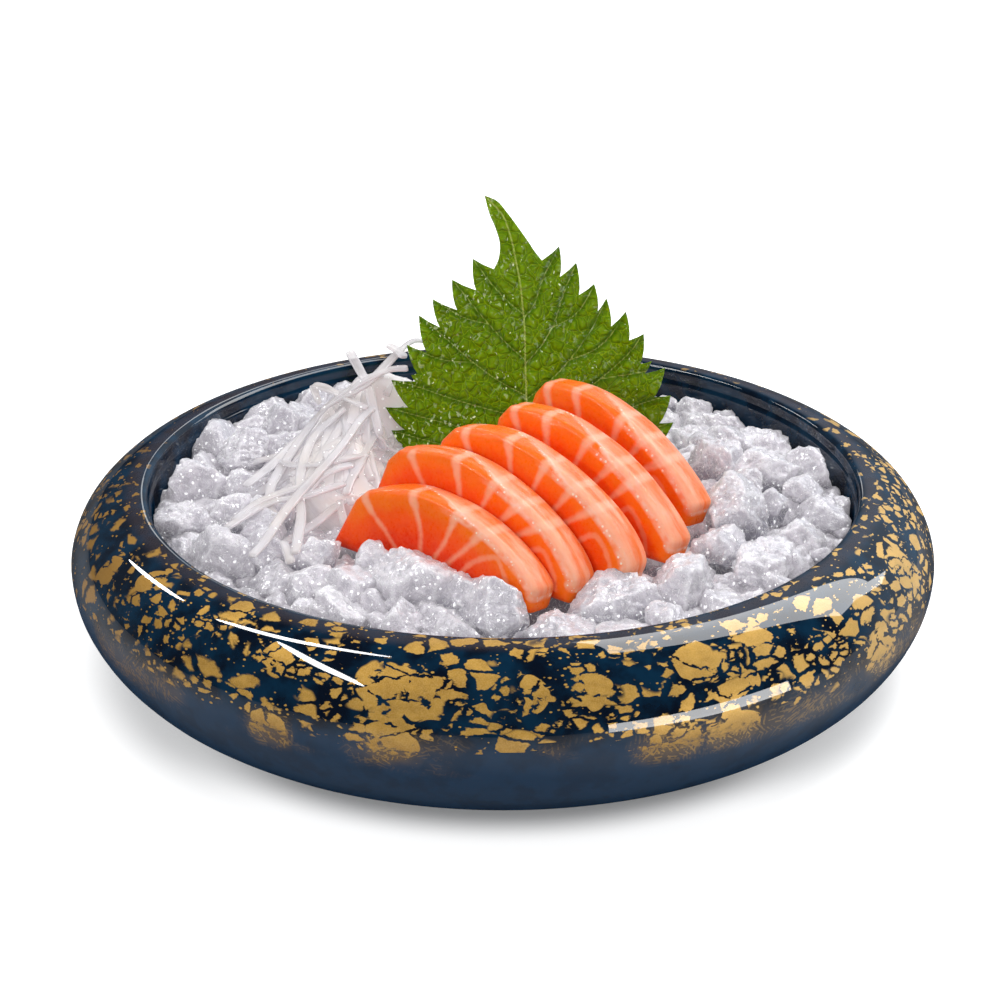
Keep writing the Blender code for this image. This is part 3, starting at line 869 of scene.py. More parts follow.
@dataclass(frozen=True)
class RadishFinish(Finish):
    """Shredded white radish, wet and half clear."""

    name: str = "white_radish"
    constants: tuple = (
        ("Transmission Weight", 0.05),
        ("IOR", 1.34),
        ("Specular IOR Level", 0.3),
        ("Coat Weight", 0.3),
        ("Coat Roughness", 0.12),
        ("Emission Strength", 1.0),
    )
    pale: tuple = shade(216, 213, 218)
    warm: tuple = shade(218, 209, 203)
    white: tuple = shade(234, 232, 237)
    # painted glow: the radish gives off a little light of its own
    glow: tuple = (0.065, 0.062, 0.066, 1.0)
    solid: float = 0.52  # how much the middle of a strand covers
    rim: float = 0.80  # how much its sides cover

    def dress(self, graph: Graph) -> dict[str, Value]:
        """The strands' long fibres, pale edges, painted glints and a painted glow, from the place along and
        across them.

        Args:
            graph: the material's tree.

        Returns:
            The values by shader input.
        """
        along, across, own = graph.split(graph.stored("grain"))
        place = graph.place()
        sideways = across * 1.2 + own * 7.3
        fibre = graph.effect(Effect.FIBRES, Place=graph.join(along, sideways, 0.0), Length=14.0, Width=0.7)
        cloud = graph.effect(Effect.MOTTLE, Place=place, Size=11.0, Softness=0.25)
        # painted glints: small white spots that also glow
        specks = graph.effect(Effect.SPECKS, Place=place, Spacing=1.9, Radius=0.36, Share=0.65)
        border = graph.band(abs(across), 0.55, 0.90)
        tone = graph.layers(
            self.pale,
            (cloud, self.warm),
            (fibre * 0.15, self.white),
            (border * 0.5, self.white),
            (specks, WHITE),
        )
        return {
            "Base Color": tone,
            # the painted glints glow over the painted glow
            "Emission Color": graph.mix(specks * 0.4, self.glow, WHITE),
            "Alpha": graph.most(border * self.rim, specks, self.solid),
            "Roughness": graph.band(fibre, 0.0, 1.0, 0.40, 0.26),
        }


@dataclass(frozen=True)
class FloorFinish(Finish):
    """Plain white studio floor, lit a little from below so that shadows stay light."""

    name: str = "studio_floor"
    constants: tuple = (("Specular IOR Level", 0.05), ("Roughness", 0.9), ("Emission Color", WHITE))
    white: tuple = (0.66, 0.66, 0.66, 1.0)
    paler: tuple = (0.68, 0.68, 0.68, 1.0)
    mirrored_glow: float = 0.06

    def dress(self, graph: Graph) -> dict[str, Value]:
        """An almost even white whose glow fades under the bowl, as a painted shadow.

        Args:
            graph: the material's tree.

        Returns:
            The values by shader input.
        """
        place = graph.place()
        cloud = graph.effect(Effect.MOTTLE, Place=place, Size=300.0, Softness=0.3)
        far = graph.vector("LENGTH", place)
        across, _, _ = graph.split(place)
        # painted shadow: the glow is weaker near the bowl, more so in front of it than beside it
        beside = graph.band(abs(across) / far, 0.50, 0.88)
        before = graph.band(far, 86.5, 101.0, 0.18, 0.82)
        glow = graph.blend(beside, before, graph.band(far, 96.0, 113.0, 0.44, 0.86))
        seen = graph.node("LightPath", output="Is Camera Ray")
        return {
            "Base Color": graph.mix(cloud, self.white, self.paler),
            "Emission Strength": graph.blend(seen, self.mirrored_glow, glow),
        }


# --------------------------------------------------------------------
# Meshes
# --------------------------------------------------------------------


def make_piece(
    name: str,
    places: np.ndarray,
    faces: list | np.ndarray,
    finish: Finish,
    nodes: tuple[str, ...],
    stored: dict[str, np.ndarray],
) -> bpy.types.Object:
    """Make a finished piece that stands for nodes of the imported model.

    Args:
        name: the piece's name.
        places: its vertices, in metres.
        faces: the vertex numbers of each face.
        finish: what it is made of.
        nodes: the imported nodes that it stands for.
        stored: vectors for its vertices by name.

    Returns:
        The piece.
    """
    mesh = bpy.data.meshes.new(name)
    rows = faces.tolist() if isinstance(faces, np.ndarray) else faces
    mesh.from_pydata(np.asarray(places, float).tolist(), [], rows)
    for label, vectors in stored.items():
        layer = mesh.attributes.new(label, "FLOAT_VECTOR", "POINT")
        layer.data.foreach_set("vector", np.asarray(vectors, np.float32).ravel())
    mesh.shade_smooth()
    mesh.materials.append(finish.material())
    piece = bpy.data.objects.new(name, mesh)
    bpy.context.scene.collection.objects.link(piece)
    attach(piece, BODY)
    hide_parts(*nodes)
    LOG.info("%s: %d triangles", name, sum(len(row) - 2 for row in rows))
    return piece


def quarter(width: float, height: float, power: float, steps: int) -> Points:
    """Points of a quarter superellipse.

    Args:
        width, height: its half axes.
        power: 2 for an ellipse, below it flatter and above it squarer.
        steps: how many stretches.

    Returns:
        The points, from (0, height) to (width, 0).
    """
    angles = [math.pi / 2 * step / steps for step in range(steps + 1)]
    shares = [(math.sin(angle), max(math.cos(angle), 0.0)) for angle in angles]
    return [(width * run ** (2 / power), height * rise ** (2 / power)) for run, rise in shares]


def smooth_course(points: np.ndarray, steps: int) -> np.ndarray:
    """A smooth course through points.

    Args:
        points: at least two, in order.
        steps: how many stretches between neighbours.

    Returns:
        The points of the course.
    """
    points = np.asarray(points, float)
    padded = np.vstack([2 * points[0] - points[1], points, 2 * points[-1] - points[-2]])
    found = []
    for here in range(1, len(padded) - 2):
        a, b, c, d = padded[here - 1 : here + 3]
        for share in np.arange(steps) / steps:
            bend = (2 * a - 5 * b + 4 * c - d) * share**2
            bend = bend + (3 * b - a - 3 * c + d) * share**3
            found.append(0.5 * (2 * b + (c - a) * share + bend))
    return np.array([*found, points[-1]])


def gap_to_course(points: np.ndarray, course: np.ndarray) -> tuple[np.ndarray, np.ndarray]:
    """Distance from points to a course.

    Args:
        points: the points, one a row.
        course: the course's own points.

    Returns:
        For each point the distance, and how far along the course its nearest place is.
    """
    best = np.full(len(points), np.inf)
    along = np.zeros(len(points))
    run = 0.0
    for first, second in zip(course[:-1], course[1:]):
        step = second - first
        length = max(float(np.linalg.norm(step)), 1e-9)
        share = np.clip((points - first) @ step / length**2, 0.0, 1.0)
        gap = np.linalg.norm(points - first - share[:, None] * step, axis=1)
        closer = gap < best
        best = np.where(closer, gap, best)
        along = np.where(closer, run + share * length, along)
        run += length
    return best, along


def smooth_step(value: np.ndarray) -> np.ndarray:
    """0 below 0, 1 above 1, and a smooth rise between."""
    value = np.clip(value, 0.0, 1.0)
    return value * value * (3.0 - 2.0 * value)


def carried(places: np.ndarray, turn: Matrix | np.ndarray) -> np.ndarray:
    """Points moved by a matrix."""
    turn = np.array(turn)
    return places @ turn[:3, :3].T + turn[:3, 3]


def undone(turn: Matrix) -> np.ndarray:
    """The matrix that moves points back."""
    return np.linalg.inv(np.array(turn))


def ring_corners(rings: int, count: int) -> list[tuple[int, int, int, int]]:
    """Corners between neighbouring rings of points: two on a ring, and the two beyond them on the next."""
    pairs = [(ring * count, step, (step + 1) % count) for ring in range(rings) for step in range(count)]
    return [(start + a, start + b, start + a + count, start + b + count) for start, a, b in pairs]


def used_only(faces: list[list[int]]) -> tuple[list[int], list[list[int]]]:
    """The vertex numbers that faces use, and the faces numbered anew.

    Args:
        faces: the vertex numbers of each face.

    Returns:
        The numbers and the new faces.
    """
    kept = sorted({number for face in faces for number in face})
    order = {number: place for place, number in enumerate(kept)}
    return kept, [[order[number] for number in face] for face in faces]


def closed_disc(top: np.ndarray, under: np.ndarray, count: int) -> tuple[np.ndarray, list[list[int]]]:
    """A closed body between an upper and a lower disc.

    Args:
        top, under: rings of points from the middle out; a first ring is one point repeated.
        count: how many points a ring has.

    Returns:
        The vertices and the faces.
    """
    total = len(top)
    faces = []
    for a, b, c, d in ring_corners(total // count - 1, count):
        if a < count:
            faces += [[0, c, d], [total, total + d, total + c]]
        else:
            faces += [[a, c, d, b], [total + a, total + b, total + d, total + c]]
    for step in range(count):
        here, after = total - count + step, total - count + (step + 1) % count
        faces.append([here, total + here, total + after, after])
    kept, faces = used_only(faces)
    return np.vstack([top, under])[kept], faces


def disc_points(radii: np.ndarray, count: int) -> np.ndarray:
    """Flat points on rings of given radii round the middle."""
    turns = math.tau * np.arange(count) / count
    return np.stack([np.outer(radii, np.cos(turns)), np.outer(radii, np.sin(turns))], -1).reshape(-1, 2)


@dataclass(frozen=True)
class Swell:
    """Gentle random relief, the sum of plane waves."""

    seed: int
    length: float  # metres from crest to crest
    height: float  # metres
    waves: int = 14

    def at(self, places: np.ndarray) -> np.ndarray:
        """The height of the relief at each place.

        Args:
            places: points, one a row.

        Returns:
            The heights in metres.
        """
        draw = np.random.default_rng(self.seed)
        heading = draw.normal(size=(self.waves, places.shape[1]))
        heading /= np.linalg.norm(heading, axis=1)[:, None]
        lengths = self.length * draw.uniform(0.7, 1.5, self.waves)
        phases = draw.uniform(0.0, math.tau, self.waves)
        turns = places @ (heading * (math.tau / lengths)[:, None]).T + phases
        return self.height * np.sin(turns).sum(1) / math.sqrt(self.waves / 2)


class Ground:
    """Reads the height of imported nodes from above."""

    def __init__(self, *nodes: str) -> None:
        """Keep a search tree over the nodes' faces."""
        corners: list[Vector] = []
        faces: list[list[int]] = []
        for node in nodes:
            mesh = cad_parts[node].data
            start = len(corners)
            corners += [vertex.co.copy() for vertex in mesh.vertices]
            faces += [[start + number for number in face.vertices] for face in mesh.polygons]
        self.tree = BVHTree.FromPolygons(corners, faces)

    def height(self, x: float, y: float, missing: float = 0.0) -> float:
        """The highest surface over a flat place.

        Args:
            x, y: the place.
            missing: what is returned where there is nothing.

        Returns:
            The height in metres.
        """
        hit, _, _, _ = self.tree.ray_cast(Vector((x, y, 0.3)), Vector((0.0, 0.0, -1.0)))
        return hit.z if hit else missing


# --------------------------------------------------------------------
# Bowl
# --------------------------------------------------------------------


@dataclass
class Bowl:
    """The low round bowl with its rolled lip, turned from one profile."""

    lip_radius: float = 0.0915
    wall_radius: float = 0.0891
    band_radius: float = 0.0899
    band_top: float = 0.0461
    band_foot: float = 0.0442
    ledge: float = 0.0438
    belly_height: float = 0.0297
    floor_height: float = 0.0090
    floor_curve: float = 0.0200
    foot_radius: float = 0.0750
    foot_width: float = 0.0090
    foot_recess: float = 0.0015
    shoulder_power: float = 1.8
    belly_power: float = 1.95
    segments: int = 256
    flake_stretch: float = 0.60  # below 1 the flakes are longer round the bowl than up it
    drum: float = 110.0  # mm: radius at which the flakes are laid out
    unevenness: Swell = Swell(4, 0.028, 0.00004)
    finish: GlazeFinish = field(default_factory=GlazeFinish)

    def profile(self) -> np.ndarray:
        """Radius and height from the middle of the inside floor, over the lip, to the middle of the base.

        Returns:
            The points, one a row.
        """
        _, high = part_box("bowl")
        radius, top = high.x, high.z
        curve = self.floor_curve
        points: Points = [(r, self.floor_height) for r in np.linspace(0.0, self.wall_radius - curve, 8)[:-1]]
        points += [
            (self.wall_radius - curve + run, self.floor_height + curve - rise)
            for run, rise in quarter(curve, curve, 2.0, 10)
        ]
        points += [(self.wall_radius, height) for height in (0.034, 0.039, self.ledge - 0.0012)]
        points += [
            (self.wall_radius + 0.0001, self.ledge - 0.0004),
            (self.wall_radius + 0.0004, self.ledge),
            (self.band_radius - 0.00015, self.band_foot - 0.0001),
            (self.band_radius, self.band_foot + 0.0003),
        ]
        roll = quarter(self.lip_radius - self.band_radius, top - self.band_top, 2.0, 8)
        points += [(self.lip_radius - run, self.band_top + rise) for run, rise in reversed(roll)]
        shoulder = quarter(radius - self.lip_radius, top - self.belly_height, self.shoulder_power, 26)
        points += [(self.lip_radius + run, self.belly_height + rise) for run, rise in shoulder[1:]]
        belly = quarter(radius - self.foot_radius, self.belly_height, self.belly_power, 24)
        points += [(self.foot_radius + run, self.belly_height - rise) for run, rise in reversed(belly[:-1])]
        inside = self.foot_radius - self.foot_width
        points += [(inside, 0.0), (inside - self.foot_recess, self.foot_recess), (0.0, self.foot_recess)]
        return np.array(points)

    def turned(self, radii: np.ndarray, heights: np.ndarray) -> np.ndarray:
        """Points on rings of given radii and heights."""
        return np.column_stack([disc_points(radii, self.segments), np.repeat(heights, self.segments)])

    def build(self) -> None:
        """Turn the profile, with the slight unevenness of a thrown bowl."""
        profile = self.profile()
        runs = np.concatenate([[0.0], np.cumsum(np.linalg.norm(np.diff(profile, axis=0), axis=1))])
        places = self.turned(profile[:, 0], profile[:, 1])
        reach = np.maximum(np.linalg.norm(places[:, :2], axis=1), 0.01)
        wave = self.unevenness.at(places) * smooth_step((places[:, 2] - 0.002) / 0.01)
        places[:, :2] += places[:, :2] / reach[:, None] * wave[:, None]
        course = self.turned(np.full(len(runs), self.drum * self.flake_stretch), runs / MM)
        last = (len(profile) - 1) * self.segments
        faces = []
        for a, b, c, d in ring_corners(len(profile) - 1, self.segments):
            corners = [0 if number < self.segments else min(number, last) for number in (b, d, c, a)]
            faces.append(list(dict.fromkeys(corners)))
        kept, faces = used_only(faces)
        stored = {"course": course[kept]}
        make_piece("glazed_bowl", places[kept], faces, self.finish, ("bowl",), stored)


# --------------------------------------------------------------------
# Crushed ice
# --------------------------------------------------------------------


class LumpKind(Enum):
    """Kinds of ice: name, least and largest radius in mm, fineness of the mesh, number of flat sides."""

    BLOCK = ("ice_blocks", 7.2, 9.6, 5, 10)
    LUMP = ("ice_lumps", 5.0, 7.2, 4, 9)
    CHIP = ("ice_chips", 2.2, 4.0, 3, 8)

    def __init__(self, label: str, least: float, most: float, fineness: int, sides: int) -> None:
        """Keep the kind's own values."""
        self.label, self.least, self.most, self.fineness, self.sides = label, least, most, fineness, sides

    def ball(self) -> tuple[np.ndarray, np.ndarray]:
        """Directions and faces of a ball of even triangles.

        Returns:
            The directions and the faces.
        """
        shape = bmesh.new()
        bmesh.ops.create_icosphere(shape, subdivisions=self.fineness, radius=1.0)
        shape.verts.ensure_lookup_table()
        places = np.array([vertex.co for vertex in shape.verts])
        faces = np.array([[vertex.index for vertex in face.verts] for face in shape.faces])
        shape.free()
        return places / np.linalg.norm(places, axis=1)[:, None], faces


@dataclass
class Lump:
    """One piece of ice: its kind, middle and radius."""

    kind: LumpKind
    middle: np.ndarray
    radius: float
    seed: int
    flat: float = 0.85  # height as a share of width

    def surface(self, ball: np.ndarray) -> tuple[np.ndarray, np.ndarray]:
        """The lump's surface.

        Args:
            ball: directions from the middle.

        Returns:
            The vertices in metres, and how near each is to an edge between flat sides, 0 to 1.
        """
        draw = np.random.default_rng(self.seed)
        sides = self.kind.sides
        order = np.arange(sides) + 0.5
        polar, turn = np.arccos(1.0 - 2.0 * order / sides), math.pi * (1.0 + 5**0.5) * order
        spread = np.column_stack([np.cos(turn) * np.sin(polar), np.sin(turn) * np.sin(polar), np.cos(polar)])
        normals = spread @ self.spun(draw).T + draw.normal(0.0, 0.26, (sides, 3))
        normals /= np.linalg.norm(normals, axis=1)[:, None]
        offsets = draw.uniform(0.72, 1.0, sides)
        power = draw.uniform(28.0, 50.0)
        reach = np.maximum(ball @ normals.T, 0.0) / offsets
        total = (reach**power).sum(1) + (1.0 / 1.34) ** power
        radius = total ** (-1.0 / power)
        solid = ball * radius[:, None] * draw.uniform(0.88, 1.14, 3)
        solid[:, 2] *= self.flat
        solid *= self.radius
        scallop = Swell(self.seed + 1, 0.0064, 1.0).at(solid)
        rough = 0.00020 - 0.00034 * np.minimum(np.abs(scallop), 1.4)
        crest = np.exp(-((scallop / 0.10) ** 2))
        if self.kind is not LumpKind.CHIP:
            rough += Swell(self.seed + 3, 0.0021, 0.00022).at(solid)
        share = rough / np.maximum(np.linalg.norm(solid, axis=1), 0.001)
        ranked = np.partition(reach, -2, axis=1)
        crease = np.exp(-(((ranked[:, -1] - ranked[:, -2]) / 0.040) ** 2))
        return self.middle + solid * (1.0 + share)[:, None], np.maximum(crease, 0.35 * crest)

    @staticmethod
    def spun(draw: np.random.Generator) -> np.ndarray:
        """A random rotation."""
        axes, _ = np.linalg.qr(draw.normal(size=(3, 3)))
        return axes


@dataclass
class CrushedIce:
    """The heap: a rough core, and separate pieces of three sizes over it."""

    slices: list["SalmonSlice"]
    wall: float = 0.0887
    core_depth: float = 0.0052
    core_mesh: tuple[int, int] = (58, 180)  # rings, and points on each
    roughness: tuple[Swell, ...] = (Swell(71, 0.008, 0.0011), Swell(72, 0.0034, 0.0005))
    least_height: float = 0.0395  # of the heap where a lump lies
    swelling: float = 0.98  # of the listed lumps
    # Lumps that are set by chance: kind, tries, most in all, spacing by their radii, and lift in mm
    rounds: tuple = (
        (LumpKind.BLOCK, 1500, 38, 0.72, (-1.5, 1.0)),
        (LumpKind.LUMP, 9000, 150, 0.62, (-2.2, 1.0)),
        (LumpKind.CHIP, 9000, 220, 0.56, (-2.2, 0.2)),
    )
    finish: IceFinish = field(default_factory=IceFinish)
    # Lumps that are listed one by one, in mm: middle, and radius
    front: tuple = (
        (-45, -40, 43.5, 5.8), (-31, -49, 45.2, 5.7), (-46, -53, 41, 5.6), (-36, -56, 42, 6.6),
        (-21, -56, 43.3, 9.4), (-8, -61, 43.5, 6.2), (-2, -69, 42.2, 8.4), (13, -77, 39.5, 8.2),
        (-24, -72, 39, 7.4), (-11, -78, 39.5, 6.0), (-38, -66, 39, 7.2), (-53, -49, 39.5, 6.5),
        (27, -64, 42, 8.6), (42, -56, 42, 8.8), (57, -20, 45, 9.0), (63, -40, 39.5, 8.6),
        (73, -26, 40, 7.8), (81, -10, 40, 7.0), (67, -12, 44, 5.2), (76, -1, 43, 5.6),
        (38, -72, 41, 5.0), (51, -64, 38.5, 6.6), (27, -77, 38.5, 6.4), (1, -82, 38, 5.6),
        (68, 8, 44, 7.6), (79, 14, 41, 6.6), (62, -2, 45, 5.4), (57, 12, 45.5, 7.4), (53, -34, 43, 6.2),
    )
    left: tuple = (
        (-79, 6, 40, 8.2), (-77, 34, 41, 7.0), (-64, 59, 40, 6.8), (-80, -13, 40, 7.2),
        (-69, -35, 39, 9.2), (-58, -38, 42, 6.0), (-65, 2, 41.5, 5.2), (-68, 24, 42.5, 7.2),
        (-59, 46, 41, 7.6), (-53, 67, 40, 5.4), (-57, -14, 42.5, 6.4), (-68, -12, 41, 6.4),
        (-55, 30, 41.5, 6.6), (-60, -26, 41.5, 6.2), (-78, -30, 38, 5.6), (-44, 60, 40, 6.5),
    )

    def build(self) -> list[bpy.types.Object]:
        """Heap the ice.

        Returns:
            The core and one piece for each kind.
        """
        self.ground = Ground("ice")
        made = [self.core()]
        lumps = self.scatter()
        for kind in LumpKind:
            ball, faces = kind.ball()
            mine = [lump for lump in lumps if lump.kind is kind]
            places, creases = [], []
            for lump in mine:
                shape, edge = lump.surface(ball)
                rise = (shape[:, 2] - lump.middle[2]) / lump.radius
                creases.append(np.column_stack([edge, np.full(len(ball), self.tone(lump)), rise]))
                places.append(self.fitted(shape, lump))
            rows = np.vstack([faces + number * len(ball) for number in range(len(mine))])
            heap, stored = np.vstack(places), {"crease": np.vstack(creases)}
            made.append(make_piece(kind.label, heap, rows, self.finish, ("ice",), stored))
            LOG.info("%s: %d pieces", kind.label, len(mine))
        return made

    @staticmethod
    def tone(lump: Lump) -> float:
        """How clear and dark a lump is: those at the left and low down are darker; the darkening at the left
        is painted shade.

        Args:
            lump: the lump.

        Returns:
            Its tone, 0 to 1.
        """
        draw = np.random.default_rng(lump.seed + 9)
        # painted shade: lumps at the left are made darker
        side = 0.45 if lump.middle[0] < -0.050 else 0.0
        return float(np.clip(draw.uniform(-0.6, 0.7) + side, 0.0, 1.0))

    def core(self) -> bpy.types.Object:
        """The body of smaller ice under the lumps, closed all round.

        Returns:
            The piece.
        """
        low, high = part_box("ice")
        radius = min(high.x, self.wall) - 0.0004
        rings, count = self.core_mesh
        flat = disc_points(radius * np.linspace(0.0, 1.0, rings + 1), count)
        heights = np.array([self.ground.height(x * 0.985, y * 0.985, 0.036) for x, y in flat])
        solid = np.column_stack([flat, np.zeros(len(flat))])
        rough = sum(swell.at(solid) for swell in self.roughness)
        top = np.column_stack([flat, heights - self.core_depth + rough])
        curve = Bowl.floor_curve
        run = np.clip(np.linalg.norm(flat, axis=1) - (Bowl.wall_radius - curve), 0.0, curve - 0.0008)
        foot = max(low.z, 0.0) + 0.0002 + curve - np.sqrt(curve**2 - run**2)
        places, faces = closed_disc(top, np.column_stack([flat, foot]), count)
        # the core's low rise and dark tone give it the ice's painted shade between the lumps
        stored = {"crease": np.tile([0.0, 0.8, -0.2], (len(places), 1))}
        return make_piece("ice_core", places, faces, self.finish, ("ice",), stored)

    def scatter(self) -> list[Lump]:
        """Choose where the pieces of ice lie: first those listed, then by chance where there is room.

        Returns:
            The lumps.
        """
        draw = np.random.default_rng(20)
        lumps: list[Lump] = []
        for x, y, z, radius in (*self.front, *self.left):
            kind = LumpKind.BLOCK if radius > 7.1 else LumpKind.LUMP
            middle = np.array([x, y, z]) * MM
            lumps.append(Lump(kind, middle, radius * self.swelling * MM, 500 + 7 * len(lumps), 0.9))
        for kind, tries, most, spacing, lift in self.rounds:
            made = sum(1 for lump in lumps if lump.kind is kind)
            for _ in range(tries):
                if made >= most:
                    break
                radius = draw.uniform(kind.least, kind.most) * MM
                reach = (self.wall - radius * 0.75) * math.sqrt(draw.uniform())
                turn = draw.uniform(0.0, math.tau)
                x, y = reach * math.cos(turn), reach * math.sin(turn)
                height = self.ground.height(x, y)
                raised = draw.uniform(*lift) * MM
                middle = np.array([x, y, height + raised - radius * 0.85])
                if height < self.least_height or self.in_the_way(x, y, radius):
                    continue
                if self.fits(kind, middle, radius, lumps, spacing):
                    lumps.append(Lump(kind, middle, radius, int(draw.integers(1, 10**6))))
                    made += 1
        return lumps

    @staticmethod
    def fits(kind: LumpKind, middle: np.ndarray, radius: float, lumps: list[Lump], spacing: float) -> bool:
        """Whether a lump has room among the others, and a chip shows between them.

        Args:
            kind, middle, radius: the lump's own.
            lumps: those that are there.
            spacing: the least distance as a share of the radii.

        Returns:
            True if it fits.
        """
        for lump in lumps:
            least = spacing * (lump.radius + radius)
            if kind is LumpKind.CHIP:
                chips = lump.kind is LumpKind.CHIP
                least = 1.1 * (lump.radius + radius) if chips else spacing * lump.radius
            if float(np.linalg.norm((lump.middle - middle)[:2])) < least:
                return False
        return True

    def in_the_way(self, x: float, y: float, radius: float) -> bool:
        """Whether a lump there would be inside a slice or stand in the leaf.

        Args:
            x, y: the place.
            radius: of the lump.

        Returns:
            True if it would.
        """
        spot = Vector((x, y, 0.046))
        for piece in self.slices:
            local = piece.place().inverted() @ spot
            across = -radius * 0.35 < local.y < piece.thickness + radius * 0.35
            if across and -radius * 0.4 < local.x < piece.length + radius * 0.4:
                return True
        leaf = ShisoLeaf.plane().inverted() @ spot
        return abs(leaf.y) < radius * 0.45 and abs(leaf.x - 0.006) < 0.042

    def fitted(self, places: np.ndarray, lump: Lump) -> np.ndarray:
        """Keep a lump inside the bowl and out of the slices and the leaf.

        Args:
            places: its vertices.
            lump: the lump.

        Returns:
            The moved vertices.
        """
        reach = np.linalg.norm(places[:, :2], axis=1)
        over = reach > self.wall
        places[over, :2] *= (self.wall / reach[over])[:, None]
        for piece in self.slices:
            places = piece.pressed_out(places, lump.middle)
        return ShisoLeaf.pressed_out(places, lump.middle)


# --------------------------------------------------------------------
# Salmon
# --------------------------------------------------------------------


